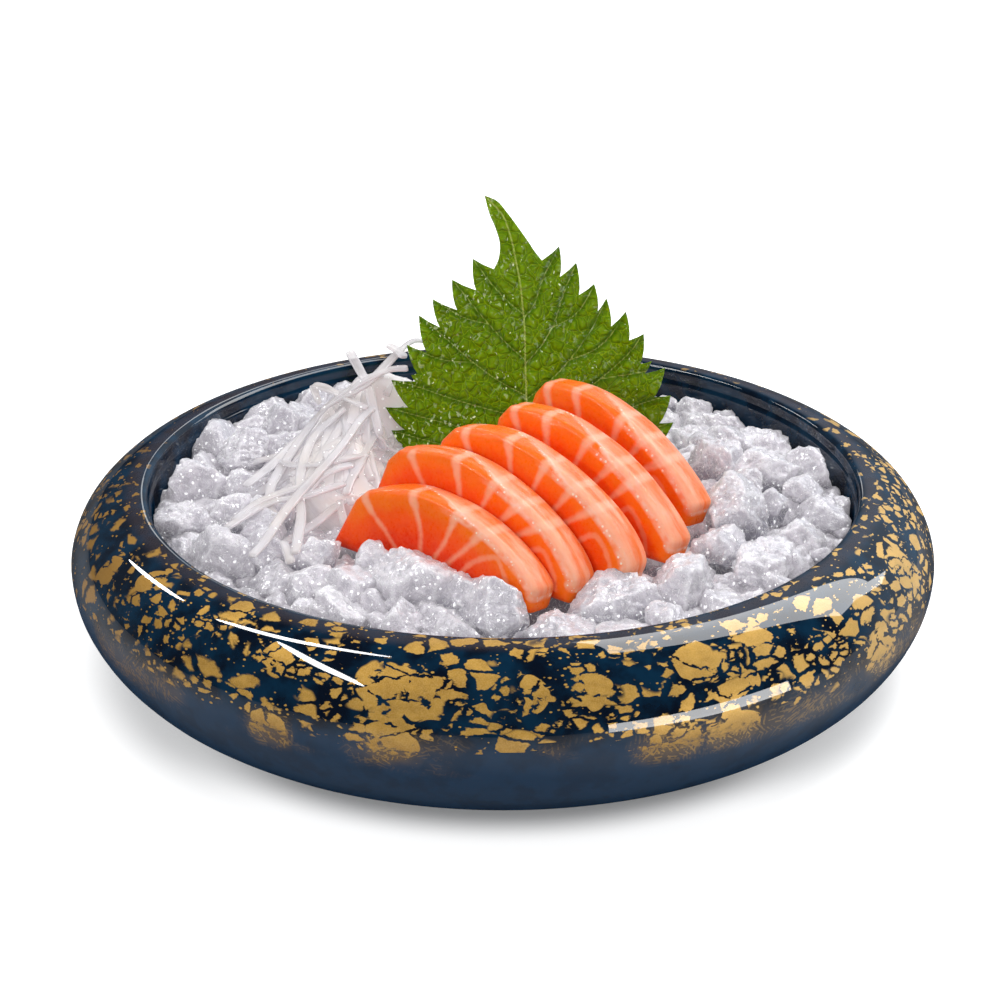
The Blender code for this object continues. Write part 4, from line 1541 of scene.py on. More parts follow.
@dataclass
class SalmonSlice:
    """One slice of salmon: it stands on its cut base and leans back."""

    number: int
    foot: tuple[float, float, float]
    yaw: float
    length: float
    height: float
    roll: float
    fullness: float
    shoulder: float
    splay: float
    lines: tuple[Points, ...]  # courses of the fat on the cut face, in mm along the base and up
    arch: Points
    thickness: float = 0.0100
    lean: float = math.radians(9.0)
    sink: float = 0.0030
    end: float = 0.0030
    heel: float = 0.0010
    crest: float = 0.44
    shoulder_curvature: float = 12.8
    edge: float = 0.0024
    voxel: float = 0.00046
    finish: SalmonFinish = field(default_factory=SalmonFinish)

    def outline(self) -> np.ndarray:
        """Outline in the slice's own plane.

        Returns:
            The points from the left foot over the arc to the right foot.
        """
        crest = self.crest * self.length
        arc: Points = []
        for step in range(8):
            along = self.shoulder + (crest - self.shoulder) * step / 8
            arc.append((along, self.height - self.shoulder_curvature * (crest - along) ** 2))
        for run, _ in quarter(1.0, 1.0, 2.0, 26):
            fall = (1.0 - run * run) ** (1 / self.fullness) if run < 1.0 else 0.0
            arc.append((crest + (self.length - crest) * run, self.end + (self.height - self.end) * fall))
        foot = Vector((self.length, 0.0))
        turn = Matrix.Rotation(-math.radians(self.roll), 2)
        points = [foot + turn @ (Vector(point) - foot) for point in arc]
        drop = points[0].y + self.sink
        left = points[0] - Vector((drop * self.splay, drop))
        right = Vector((self.length - self.heel, -self.sink))
        rounded = np.array([left, *points, right])
        rounded[1:-1] = (rounded[:-2] + 6.0 * rounded[1:-1] + rounded[2:]) / 8.0
        return rounded

    def place(self) -> Matrix:
        """Where the slice's own axes go: along its base, back through it, and up its face."""
        turn = Matrix.Rotation(math.radians(self.yaw), 4, "Z") @ Matrix.Rotation(-self.lean, 4, "X")
        return Matrix.Translation(self.foot) @ turn @ Matrix.Translation((-self.length, 0.0, 0.0))

    def pressed_out(self, places: np.ndarray, middle: np.ndarray) -> np.ndarray:
        """Move vertices that would be inside the slice to the face of it that their lump is on.

        Args:
            places: vertices in metres.
            middle: of the lump that they belong to.

        Returns:
            The moved vertices.
        """
        turn = self.place()
        local, own = carried(places, undone(turn)), carried(middle, undone(turn))
        outline = self.outline()
        gap, beyond = 0.0002, 0.0003
        low, high = outline[:, 0].min() - beyond, outline[:, 0].max() + beyond
        along, depth, height = local.T
        inside = (along > low) & (along < high) & (depth > -gap) & (depth < self.thickness + gap)
        inside &= height < np.interp(along, outline[:-1, 0], outline[:-1, 1]) + gap
        if own[0] > self.length - 0.001 and -0.002 < own[1] < self.thickness + 0.002:
            local[inside, 0] = self.length + beyond
        else:
            local[inside, 1] = -gap if own[1] < self.thickness / 2 else self.thickness + gap
        return carried(local, turn)

    def solid(self) -> tuple[np.ndarray, list]:
        """The slice's body with rounded rims, as an even fine mesh in its own axes.

        Returns:
            The vertices and the faces.
        """
        shape = bmesh.new()
        front = shape.faces.new([shape.verts.new((x, 0.0, z)) for x, z in self.outline()])
        grown = bmesh.ops.extrude_face_region(shape, geom=[front], use_keep_orig=True)
        back = [item for item in grown["geom"] if isinstance(item, bmesh.types.BMVert)]
        bmesh.ops.translate(shape, verts=back, vec=(0.0, self.thickness, 0.0))
        bmesh.ops.recalc_face_normals(shape, faces=shape.faces)
        caps = [face for face in shape.faces if len(face.verts) > 4]
        rims = list({edge for face in caps for edge in face.edges})
        bmesh.ops.bevel(shape, geom=rims, offset=self.edge, segments=4, profile=0.5, affect="EDGES")
        bmesh.ops.triangulate(shape, faces=shape.faces)
        mesh = bpy.data.meshes.new("slice_block")
        shape.to_mesh(mesh)
        shape.free()
        block = bpy.data.objects.new("slice_block", mesh)
        bpy.context.scene.collection.objects.link(block)
        even = block.modifiers.new("even", "REMESH")
        even.mode = "VOXEL"
        even.voxel_size = self.voxel
        ease = block.modifiers.new("ease", "SMOOTH")
        ease.factor = 0.5
        ease.iterations = 5
        ready = bpy.data.meshes.new_from_object(block.evaluated_get(bpy.context.evaluated_depsgraph_get()))
        places = np.array([vertex.co for vertex in ready.vertices])
        faces = [list(face.vertices) for face in ready.polygons]
        bpy.data.objects.remove(block)
        return places, faces

    def build(self) -> list[bpy.types.Object]:
        """Cut the slice.

        Returns:
            The piece.
        """
        places, faces = self.solid()
        flat = places[:, [0, 2]] / MM
        inside, along = gap_to_course(flat, self.outline()[1:-1] / MM)
        fat = np.min([self.gap_to_line(flat, line) for line in self.lines], axis=0)
        arch = self.gap_to_line(flat, self.arch)
        depth = places[:, 1] / MM
        front = smooth_step((1.2 - depth) / 1.2)
        back = smooth_step((depth - self.thickness / MM + 1.2) / 1.2)
        face = np.maximum(front, back) * smooth_step((inside - 0.6) / 1.5)
        groove = 0.00016 * np.exp(-((fat / 0.55) ** 2))
        swell = Swell(40 + self.number, 0.013, 0.00016).at(places)
        places[:, 1] += (groove + swell) * face * np.where(front > back, 1.0, -1.0)
        outward = (places - places.mean(0)) * (1.0, 0.0, 1.0)
        outward /= np.maximum(np.linalg.norm(outward, axis=1), 1e-4)[:, None]
        ridge = Swell(60 + self.number, 2.2, 0.00009)
        ridge = ridge.at(np.column_stack([along / 7.0, depth, np.zeros(len(depth))]))
        rim = smooth_step((1.6 - inside) / 1.6) * (1.0 - np.maximum(front, back))
        places += outward * (ridge * rim)[:, None]
        stored = {
            "fat": np.column_stack([fat, arch, along / along.max()]),
            "skin": np.column_stack([along + 13.0 * self.number, depth, inside]),
            "grain": places / MM + 37.0 * self.number,
        }
        name, nodes = f"salmon_{self.number}", (f"salmon_slice_{self.number}",)
        world = carried(places, self.place())
        return [make_piece(name, world, faces, self.finish, nodes, stored)]

    @staticmethod
    def gap_to_line(flat: np.ndarray, line: Points) -> np.ndarray:
        """Distances from points to the smooth course through a line of fat."""
        return gap_to_course(flat, smooth_course(np.array(line), 6))[0]


def salmon_row() -> list[SalmonSlice]:
    """The five slices with the courses of their fat, from front to back.

    Returns:
        The slices.
    """
    return [
        SalmonSlice(
            1, (0.0065, -0.0700, 0.0455), -38.8, 0.0630, 0.0170, 0.5, 1.25, 0.0067, 0.45,
            (
                [(9.5, 12.5), (14.5, 8), (18, 5.5), (23.5, 0), (26, -3)],
                [(23.8, 18), (27.5, 10), (28.7, 5), (29, -2)],
                [(39.5, 18), (36, 8), (33.5, 3.5), (32, -2)],
                [(51.5, 16), (46, 12), (41.5, 7), (37, 2.5), (34, -1)],
            ),
            [(41.5, 1.5), (43, 3.5), (46, 6), (51.5, 8.3), (53.5, 6), (55.5, 2.5), (56.5, -1)],
        ),
        SalmonSlice(
            2, (0.0156, -0.0640, 0.0452), -38.8, 0.0670, 0.0165, 10.5, 1.40, 0.0053, 0.30,
            (
                [(15.8, 21), (20, 15), (24, 10), (29, 4)],
                [(28, 26), (31.5, 16), (32.5, 9), (33, 2)],
                [(43, 25), (39.5, 16), (36, 8), (34, 2)],
                [(54.5, 22), (46.5, 14), (40, 8), (36, 3)],
                [(60, 15.8), (51, 10.5), (44, 6)],
            ),
            [(50, 2.5), (54, 7), (58, 8), (61.5, 4), (62.5, 0)],
        ),
        SalmonSlice(
            3, (0.0280, -0.0592, 0.0460), -38.2, 0.0675, 0.0166, 13.5, 1.60, 0.0058, 0.29,
            (
                [(16.6, 25), (18.5, 21), (24, 13), (29, 6)],
                [(28.6, 29), (31.5, 19.5), (33, 10), (33.5, 2)],
                [(43.5, 28.5), (40, 17.5), (37, 9), (35, 3)],
                [(53, 22.5), (47, 14), (41, 8), (37, 3)],
                [(61, 18.2), (51, 11), (44, 7)],
            ),
            [(52, 4), (55, 7.5), (59, 9), (63, 4), (64, 0)],
        ),
        SalmonSlice(
            4, (0.0396, -0.0474, 0.0475), -37.0, 0.0690, 0.0158, 13.8, 1.15, 0.0105, 0.18,
            (
                [(19, 27), (20.5, 22), (26, 14), (31, 7)],
                [(28.6, 28.5), (31, 18.5), (33, 10), (34, 2)],
                [(43.5, 25), (39.5, 15.5), (37, 9), (35, 3)],
                [(53, 21), (46, 13), (41, 8), (37, 3)],
                [(59, 18.2), (51, 10), (45, 6)],
            ),
            [(51, 3.5), (54, 7), (57, 8.3), (61.5, 3), (62.5, -1)],
        ),
        SalmonSlice(
            5, (0.0455, -0.0290, 0.0490), -39.5, 0.0665, 0.0158, 11.0, 1.10, 0.0115, 0.20,
            (
                [(18.6, 23.4), (20, 19), (25, 12), (30, 5)],
                [(26.6, 26), (29.5, 18), (32, 9), (33, 2)],
                [(43.5, 25.5), (41.5, 14), (38, 7), (36, 2)],
                [(53.5, 21.3), (48, 12.5), (42, 6), (38, 2)],
                [(60, 14.8), (54, 10), (47, 6)],
            ),
            [(49, 3), (52, 6), (55.5, 7), (59, 3), (60, -1)],
        ),
    ]


# --------------------------------------------------------------------
# Shiso leaf
# --------------------------------------------------------------------


@dataclass
class ShisoLeaf:
    """The toothed leaf that stands up behind the slices, drawn in its own plane in mm."""

    foot: tuple[float, float, float] = (0.0, 0.0285, 0.0450)
    lean: float = math.radians(15.0)
    thickness: float = 0.00042
    spacing: float = 0.46  # mm between the points of its mesh
    fold: float = 0.0030
    half_width: float = 34.0
    tip: tuple[float, float] = (-4.75, 65.2)
    finish: LeafFinish = field(default_factory=LeafFinish)
    midrib: tuple = (
        (6.3, -14), (6.4, -6), (6.3, 4), (6.3, 12), (6.0, 20), (5.8, 30), (5.2, 37), (4.5, 43), (3.5, 48),
        (2.2, 54), (0.0, 60), (-4.6, 65),
    )
    # Each tooth of a side: the notch above it, then its point
    right_teeth: tuple = (
        ((10.3, 48.3), (14.8, 52)), ((15, 44), (19.3, 47.7)), ((20, 39.3), (24, 42.2)),
        ((25, 35), (27.2, 38.5)), ((28.5, 31), (32.3, 35)), ((33.2, 27.5), (37, 29.2)),
        ((36.3, 21.2), (39.2, 22)), ((37.4, 18.6), (42.7, 20.2)), ((40, 12.4), (44.3, 12.9)),
        ((41.5, 5.2), (45.2, 5.5)), ((40.5, -1.5), (43, -2)), ((37.5, -6.5), (38.5, -8)),
    )
    left_teeth: tuple = (
        ((-2.3, 46), (-7.8, 48.7)), ((-7, 40.5), (-13.3, 43.3)), ((-12, 35.3), (-18.4, 38.3)),
        ((-16.5, 30.8), (-22, 34)), ((-20, 24.3), (-25.2, 26.3)), ((-22.5, 18.6), (-24.2, 18.2)),
        ((-23, 16.4), (-29.3, 17)), ((-25, 9.5), (-31, 9.5)), ((-26, 3.5), (-29.5, 3.3)),
        ((-25.5, -2), (-28, -3.5)), ((-22.5, -7), (-23.5, -9)),
    )
    right_tail: tuple = ((-1.5, 63.8), (1.0, 61.0), (4.0, 57.0), (6.5, 53.5), (8.5, 50.5))
    left_tail: tuple = ((-3.5, 60.5), (-2.0, 57.0), (-0.8, 53.0), (-1.0, 49.0))
    # Courses of the side veins, from the midrib out to the teeth
    veins: tuple = (
        ((5.7, 33), (8.6, 37.5), (10.8, 44), (14.6, 51.6)),
        ((6, 21), (10.3, 26), (13.6, 32), (16, 39.5), (19.1, 47.3)),
        ((12.8, 30.5), (18.5, 33.6), (21.6, 37.4), (23.8, 41.8)),
        ((6.2, 11.5), (13.5, 17.5), (19.5, 24.5), (24, 31.5), (27, 38.1)),
        ((17.5, 22), (24.5, 25), (29, 29.4), (32, 34.6)),
        ((6.3, 5.5), (16, 10.5), (25, 16.5), (32.5, 23.2), (36.7, 28.9)),
        ((25.5, 17), (33.5, 18.4), (38.2, 19.3), (42.3, 20.1)),
        ((6.3, 0.5), (18, 4), (30, 7.8), (38.5, 11.2), (43.9, 12.8)),
        ((6.4, -4), (20, -2), (34, 2), (44.8, 5.4)), ((6.4, -8), (20, -7), (34, -4.6), (42, -2.2)),
        ((5.6, 34), (1.6, 37.3), (-3, 42.2), (-7.5, 48.3)),
        ((6, 22), (1, 26.5), (-4.5, 32.5), (-9, 38), (-13, 43)),
        ((-3.6, 31.5), (-9.5, 33), (-14, 35.4), (-18, 38)),
        ((6.2, 12.5), (-1.5, 16.8), (-9, 22.5), (-16, 28.8), (-21.7, 33.7)),
        ((-7.5, 21.3), (-14.5, 22), (-20, 23.8), (-24.8, 26.1)),
        ((6.3, 6.5), (-4, 9), (-14, 12), (-22, 14.8), (-28.8, 16.9)),
        ((6.3, 1.5), (-6, 3), (-18, 6), (-30.5, 9.4)), ((6.4, -3), (-6, -2.5), (-18, 0), (-29, 3.2)),
        ((6.4, -8), (-6, -8.5), (-16, -7), (-27.5, -3.6)),
    )

    @classmethod
    def plane(cls) -> Matrix:
        """Where the leaf's own plane stands."""
        return Matrix.Translation(cls.foot) @ Matrix.Rotation(-cls.lean, 4, "X")

    @classmethod
    def pressed_out(cls, places: np.ndarray, middle: np.ndarray) -> np.ndarray:
        """Move vertices that would cross the leaf to the side that their lump is on.

        Args:
            places: vertices in metres.
            middle: of the lump that they belong to.

        Returns:
            The moved vertices.
        """
        turn = cls.plane()
        local, own = carried(places, undone(turn)), carried(middle, undone(turn))
        near = (np.abs(local[:, 0] - 0.0065) < 0.040) & (local[:, 2] < 0.030)
        if own[1] > 0:
            limit, over = 0.0006, near & (local[:, 1] < 0.0006)
        else:
            limit, over = -0.0008, near & (local[:, 1] > -0.0008)
        if not over.any() or abs(own[1]) > 0.015:
            return places
        local[over, 1] = limit
        return carried(local, turn)

    def side(self, teeth: tuple, tail: tuple) -> Points:
        """The margin of one half from the tip down: a smooth tail, then teeth with rounded backs.

        Args:
            teeth: notches and points from the top.
            tail: points of the smooth part.

        Returns:
            The margin's points.
        """
        start = smooth_course(np.array([self.tip, *tail, teeth[0][0]]), 5)
        margin = [tuple(point) for point in start[1:-1]]
        middle = self.midrib[0][0]
        for here, (notch, point) in enumerate(teeth):
            notch, point = np.array(notch), np.array(point)
            rising = point - notch
            aside = np.array([-rising[1], rising[0]])
            aside *= -1.0 if aside[1] > 0 else 1.0
            margin += [tuple(notch), tuple(notch + rising * 0.55 + aside * 0.03), tuple(point)]
            if here + 1 == len(teeth):
                break
            back = np.array(teeth[here + 1][0]) - point
            bulge = np.array([-back[1], back[0]])
            bulge *= 1.0 if bulge[0] * (point[0] - middle) > 0 else -1.0
            for share, rise in ((0.2, 0.6), (0.5, 1.0), (0.8, 0.75)):
                margin.append(tuple(point + back * share + bulge * 0.055 * rise))
        return margin

    def build(self) -> list[bpy.types.Object]:
        """Grow the leaf.

        Returns:
            The piece.
        """
        left = self.side(self.left_teeth, self.left_tail)
        right = self.side(self.right_teeth, self.right_tail)
        ring = [self.tip, *left, (-12.0, -12.0), self.midrib[0], (26.0, -12.0), *reversed(right)]
        outline = self.resampled(np.array(ring))
        points = [Vector(point) for point in (*outline, *self.filled(outline))]
        flat, _, faces, *_ = delaunay_2d_cdt(points, [], [list(range(len(outline)))], 1, 1e-9)
        flat = np.array([tuple(point) for point in flat])
        main = gap_to_course(flat, smooth_course(np.array(self.midrib), 4))[0]
        courses = [smooth_course(np.array(vein), 5) for vein in self.veins]
        sides = np.min([gap_to_course(flat, course)[0] for course in courses], axis=0)
        edge = gap_to_course(flat, np.vstack([outline, outline[:1]]))[0]
        forward = self.relief(flat, main, np.minimum(main, sides))
        half = self.thickness / 2 * (0.35 + 0.65 * smooth_step(edge / 1.2))
        spine = 0.0006 * np.exp(-((main / 0.8) ** 2)) * smooth_step((66 - flat[:, 1]) / 60)
        front = np.column_stack([flat[:, 0] * MM, -half - forward, flat[:, 1] * MM])
        back = np.column_stack([flat[:, 0] * MM, half + spine - forward, flat[:, 1] * MM])
        count = len(flat)
        rows = [list(face)[::-1] for face in faces] + [[count + number for number in face] for face in faces]
        for here in range(len(outline)):
            after = (here + 1) % len(outline)
            rows.append([here, after, count + after, count + here])
        vein = np.column_stack([main, sides, edge])
        grain = np.column_stack([flat, np.zeros(count)])
        stored = {"vein": np.vstack([vein, vein]), "grain": np.vstack([grain, grain + [0.0, 0.0, 50.0]])}
        world = carried(np.vstack([front, back]), self.plane())
        piece = make_piece("shiso", world, rows, self.finish, ("shiso_leaf",), stored)
        mend = bmesh.new()
        mend.from_mesh(piece.data)
        bmesh.ops.recalc_face_normals(mend, faces=mend.faces)
        mend.to_mesh(piece.data)
        mend.free()
        return [piece]

    def relief(self, flat: np.ndarray, main: np.ndarray, gap: np.ndarray) -> np.ndarray:
        """How far the leaf stands forward: folded margins, sunken veins, blisters and a wavy edge.

        Args:
            flat: its points in mm.
            main: distances to the midrib.
            gap: distances to the nearest vein.

        Returns:
            The distances in metres.
        """
        reach = np.minimum(main / self.half_width, 1.2)
        fold = self.fold * reach**1.6 * smooth_step(flat[:, 1] / 30.0)
        sunk = -0.00022 * np.exp(-((gap / 0.42) ** 2))
        dome = 0.00048 * smooth_step(gap / 2.4)
        blister = Swell(81, 4.0, 0.00013).at(flat) + Swell(82, 2.2, 0.00008).at(flat)
        wave = Swell(83, 17.0, 0.0005).at(flat) * smooth_step((main - 8.0) / 20.0)
        wave *= smooth_step(flat[:, 1] / 12.0)
        return fold + sunk + dome + blister * smooth_step(gap / 1.0) + wave

    def resampled(self, ring: np.ndarray) -> np.ndarray:
        """The outline with points no further apart than the mesh spacing.

        Args:
            ring: the corners in order.

        Returns:
            The points, one a row.
        """
        found = []
        for first, second in zip(ring, np.roll(ring, -1, axis=0)):
            steps = max(int(np.linalg.norm(second - first) / self.spacing), 1)
            found += [first + (second - first) * step / steps for step in range(steps)]
        return np.array(found)

    def filled(self, outline: np.ndarray) -> np.ndarray:
        """Staggered points inside the outline.

        Args:
            outline: its points in order.

        Returns:
            The points, one a row.
        """
        low, high = outline.min(0), outline.max(0)
        rows = np.arange(low[1], high[1], self.spacing * 0.87)
        grid = []
        for number, height in enumerate(rows):
            across = np.arange(low[0] + 0.5 * self.spacing * (number % 2), high[0], self.spacing)
            grid.append(np.column_stack([across, np.full(len(across), height)]))
        points = np.vstack(grid)
        inside = np.zeros(len(points), bool)
        for first, second in zip(outline, np.roll(outline, -1, axis=0)):
            crosses = (first[1] > points[:, 1]) != (second[1] > points[:, 1])
            if first[1] != second[1]:
                at = first[0] + (points[:, 1] - first[1]) / (second[1] - first[1]) * (second[0] - first[0])
                inside ^= crosses & (points[:, 0] < at)
        points = points[inside]
        gap, _ = gap_to_course(points, np.vstack([outline, outline[:1]]))
        return points[gap > self.spacing * 0.55]


# --------------------------------------------------------------------
# Shredded radish
# --------------------------------------------------------------------


@dataclass
class Strand:
    """One shred of radish along a smooth course."""

    course: np.ndarray
    width: float
    depth: float
    twist: float
    seed: int
    sides: int = 8

    def mesh(self) -> tuple[np.ndarray, list, np.ndarray]:
        """The strand's body.

        Returns:
            Its vertices, its faces and, for each vertex, the place along and across the grain in mm.
        """
        path = self.course
        steps = np.gradient(path, axis=0)
        steps /= np.maximum(np.linalg.norm(steps, axis=1), 1e-9)[:, None]
        runs = np.concatenate([[0.0], np.cumsum(np.linalg.norm(np.diff(path, axis=0), axis=1))])
        share = runs / max(runs[-1], 1e-9)
        across = np.cross(steps, np.array([0.0, 0.0, 1.0]))
        across /= np.maximum(np.linalg.norm(across, axis=1), 1e-6)[:, None]
        above = np.cross(across, steps)
        turn = self.twist * (share - 0.5)
        wide = across * np.cos(turn)[:, None] + above * np.sin(turn)[:, None]
        thin = above * np.cos(turn)[:, None] - across * np.sin(turn)[:, None]
        draw = np.random.default_rng(self.seed)
        thick = 1.0 + 0.08 * np.sin(share * draw.uniform(8, 16) + draw.uniform(0, 6))
        taper = np.clip(np.minimum(runs, runs[-1] - runs) / 0.0008, 0.0, 1.0)
        taper = 0.80 + 0.20 * np.sqrt(taper)
        angles = math.tau * (np.arange(self.sides) + 0.5) / self.sides
        power = 0.62  # below 1 the section is squarer than round
        c = np.sign(np.cos(angles)) * np.abs(np.cos(angles)) ** power
        s = np.sign(np.sin(angles)) * np.abs(np.sin(angles)) ** power
        size = (thick * taper)[:, None, None]
        ring = (
            path[:, None, :]
            + size * self.width / 2 * c[None, :, None] * wide[:, None, :]
            + size * self.depth / 2 * s[None, :, None] * thin[:, None, :]
        )
        count, sides = len(path), self.sides
        own = np.full(count * sides, float(self.seed % 97))
        grain = np.column_stack([np.repeat(runs / MM, sides), np.tile(c, count), own])
        faces = [[a, b, d, c] for a, b, c, d in ring_corners(count - 1, sides)]
        faces.append(list(range(sides))[::-1])
        faces.append([(count - 1) * sides + side for side in range(sides)])
        return ring.reshape(-1, 3), faces, grain


@dataclass
class ShreddedRadish:
    """The heap: a core, a dense mass of strands over it, and loose strands that hang on to the ice."""

    middle: tuple[float, float] = (-0.036, 0.016)
    length: float = 0.036
    width: float = 0.018
    yaw: float = math.radians(15.0)
    mass: int = 24
    mass_steps: int = 48  # stretches of a strand of the mass
    headings: tuple = (246.0, 222.0, 280.0)  # degrees: which way those strands run
    heading_odds: tuple = (0.6, 0.2, 0.2)
    core_depth: float = 0.0004
    core_mesh: tuple[int, int] = (26, 72)  # rings, and points on each
    finish: RadishFinish = field(default_factory=RadishFinish)
    # the heap's body has a stronger painted glow, lifting the shade on it
    body: RadishFinish = RadishFinish("white_radish_heap", solid=1.0, glow=(0.150, 0.138, 0.138, 1.0))
    veil: RadishFinish = RadishFinish("white_radish_veil", solid=0.50, rim=0.58)
    # Loose strands, each through its own points in mm
    loose: tuple = (
        ((-40.5, 36, 68), (-38, 33, 64.5), (-35.5, 26, 62.5), (-33.5, 20, 57.5), (-32, 14.5, 53.5),
         (-31, 15, 49)),
        ((-50, 33.5, 59.5), (-47, 31.5, 59.5), (-43, 28, 59), (-38.5, 21, 59.5), (-35, 19.5, 58.5)),
        ((-50, 33.5, 59.5), (-49.5, 33, 57), (-48.5, 32.5, 54.5)),
        ((-30.5, 38, 69), (-28, 37, 68), (-26, 33, 67.5)),
        ((-20, 41, 69), (-24, 39.5, 69.5), (-28, 37, 67), (-33.5, 28, 64), (-38, 24.5, 61.5),
         (-44, 25.5, 58), (-48, 25.5, 54.5), (-51, 23.5, 51), (-54.5, 19.5, 48.8), (-59.5, 4.5, 48.5),
         (-65, -7, 48)),
        ((-37, 26, 62.5), (-42, 26, 60), (-46.5, 26, 56), (-50, 25, 52), (-53.5, 17.5, 49.5),
         (-57.5, 0, 48), (-58.5, -9, 48), (-58, -18, 47.5), (-56, -24.5, 47.5)),
        ((-34, 21, 58), (-37, 13, 57.5), (-40, 3.5, 56), (-43.5, -5.5, 54.5), (-47.5, -13, 52.5),
         (-51.5, -20, 50), (-54.5, -30, 49.3), (-57, -42, 49), (-59.5, -51, 49)),
        ((-41, 20.5, 58), (-45, 19, 55), (-49, 14, 52.5), (-50.5, 3, 52), (-51, -7.5, 51),
         (-50.5, -16.5, 49.3), (-49.5, -26.5, 48.3), (-49.5, -38.5, 48), (-49.5, -47, 48)),
        ((-39.5, -13.5, 51.5), (-44, -16, 51), (-49, -18, 50), (-55.5, -18, 49), (-61, -22.5, 48.5),
         (-67.5, -33, 48)),
        ((-34.5, 2.5, 52.5), (-40, -3.5, 54), (-46, -4.5, 53), (-53, 0.5, 50.5), (-57, 8, 48.5)),
        ((-38, -5, 53), (-42, -9.5, 53.5), (-46.5, -11.5, 51.5), (-49, -16, 50)),
        ((-25, 31.5, 65), (-29.5, 30.5, 65), (-33.5, 27.5, 64.5), (-38, 25.5, 62.5), (-42.5, 25, 59),
         (-47.5, 26, 55.5)),
        ((-32, 19, 53.5), (-34, 12.5, 52.5), (-36, -2, 52.5), (-38, -11.5, 51.5), (-39, -17, 50)),
        ((-53, -38.5, 47), (-51.5, -44.5, 47), (-50.5, -50, 47)),
        ((-44, -10, 50.5), (-53, -14, 50), (-61, -20, 49), (-66, -28, 48)),
    )

    def build(self) -> list[bpy.types.Object]:
        """Lay the radish.

        Returns:
            The core, the mass and the loose strands.
        """
        self.ground = Ground("daikon")
        self.around = Ground("daikon", "ice")
        mass = self.laid("radish_mass", self.mass_strands(), self.veil)
        return [self.core(), mass, self.laid("radish_loose", self.loose_strands(), self.finish)]

    def spots(self, across: float | np.ndarray, along: float | np.ndarray) -> np.ndarray:
        """Flat places from shares of the heap's half width and half length.

        Args:
            across, along: the shares.

        Returns:
            The places in metres.
        """
        x, y = self.width * across, self.length * along
        cos, sin = math.cos(self.yaw), math.sin(self.yaw)
        return np.stack([self.middle[0] + x * cos + y * sin, self.middle[1] - x * sin + y * cos], -1)

    def fall(self, flat: np.ndarray) -> np.ndarray:
        """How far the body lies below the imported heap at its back, where loose strands stand clear."""
        back = (flat[:, 1] - 0.020 - 0.30 * (flat[:, 0] - self.middle[0])) / 0.016
        return 0.0048 * smooth_step(back)

    def core(self) -> bpy.types.Object:
        """The body under the strands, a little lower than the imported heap.

        Returns:
            The piece.
        """
        rings, count = self.core_mesh
        flat = self.spots(*disc_points(np.linspace(0.0, 0.94, rings + 1), count).T)
        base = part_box("daikon")[0].z + 0.0004
        heights = np.array([self.ground.height(x, y, base) for x, y in flat]) - self.fall(flat)
        heights = np.minimum(heights, self.levelled(heights.reshape(-1, count)).ravel() + 0.0002)
        rough = Swell(91, 0.007, 0.0002).at(np.column_stack([flat, flat[:, 0]]))
        top = np.column_stack([flat, np.maximum(heights - self.core_depth + rough, base + 0.0006)])
        under = np.column_stack([flat, np.full(len(flat), base)])
        places, faces = closed_disc(top, under, count)
        x, y, z = places.T / MM
        stored = {"grain": np.column_stack([0.4 * x + 0.9 * y, 0.0 * x, (0.9 * x - 0.4 * y + z) / 7.3])}
        return make_piece("radish_core", places, faces, self.body, ("daikon",), stored)

    def mass_strands(self) -> list[Strand]:
        """Flat strands laid over the mound, most of them running from the back right to the front left.

        Returns:
            The strands.
        """
        draw = np.random.default_rng(6)
        strands: list[Strand] = []
        while len(strands) < self.mass:
            reach = math.sqrt(draw.uniform()) * 0.95
            angle = draw.uniform(0.0, math.tau)
            start = self.spots(reach * math.cos(angle), reach * math.sin(angle))
            heading = draw.choice(self.headings, p=self.heading_odds) + draw.normal(0.0, 8.0)
            bend = draw.normal(0.0, 14.0)
            length = draw.uniform(0.040, 0.072)
            run = length * (np.arange(self.mass_steps + 1) / self.mass_steps - 0.5)
            turn = math.radians(heading) + bend * run
            spots = start + run[:, None] * np.column_stack([np.cos(turn), np.sin(turn)])
            heights = np.array([self.around.height(x, y, 0.044) for x, y in spots]) - self.fall(spots)
            heights = self.eased(np.maximum(heights, 0.0445), 40)
            path = self.inside_bounds(np.column_stack([spots, heights]))
            if len(path) > self.mass_steps / 3:
                share = np.linspace(-1.0, 1.0, len(path))
                path[:, 2] -= 0.0002 + 0.0012 * share**4
                size = draw.uniform(0.0022, 0.0029)
                strands.append(Strand(path, size, 0.0010, draw.normal(0, 0.3), 300 + len(strands)))
        return strands

    @staticmethod
    def levelled(heights: np.ndarray) -> np.ndarray:
        """Heights on rings and spokes with the small ridges between neighbours taken out.

        Args:
            heights: a ring a row.

        Returns:
            The levelled heights.
        """
        for _ in range(10):
            round_about = (np.roll(heights, 1, 1) + 2.0 * heights + np.roll(heights, -1, 1)) / 4.0
            inner = np.vstack([round_about[:1], round_about[:-1]])
            outer = np.vstack([round_about[1:], round_about[-1:]])
            heights = (inner + 2.0 * round_about + outer) / 4.0
        return heights

    @staticmethod
    def eased(values: np.ndarray, rounds: int) -> np.ndarray:
        """Values with the sharp changes between neighbours taken out.

        Args:
            values: in order.
            rounds: how often they are eased.

        Returns:
            The eased values.
        """
        for _ in range(rounds):
            padded = np.concatenate([values[:1], values, values[-1:]])
            values = np.maximum(values - 0.0004, (padded[:-2] + 2 * values + padded[2:]) / 4)
        return values

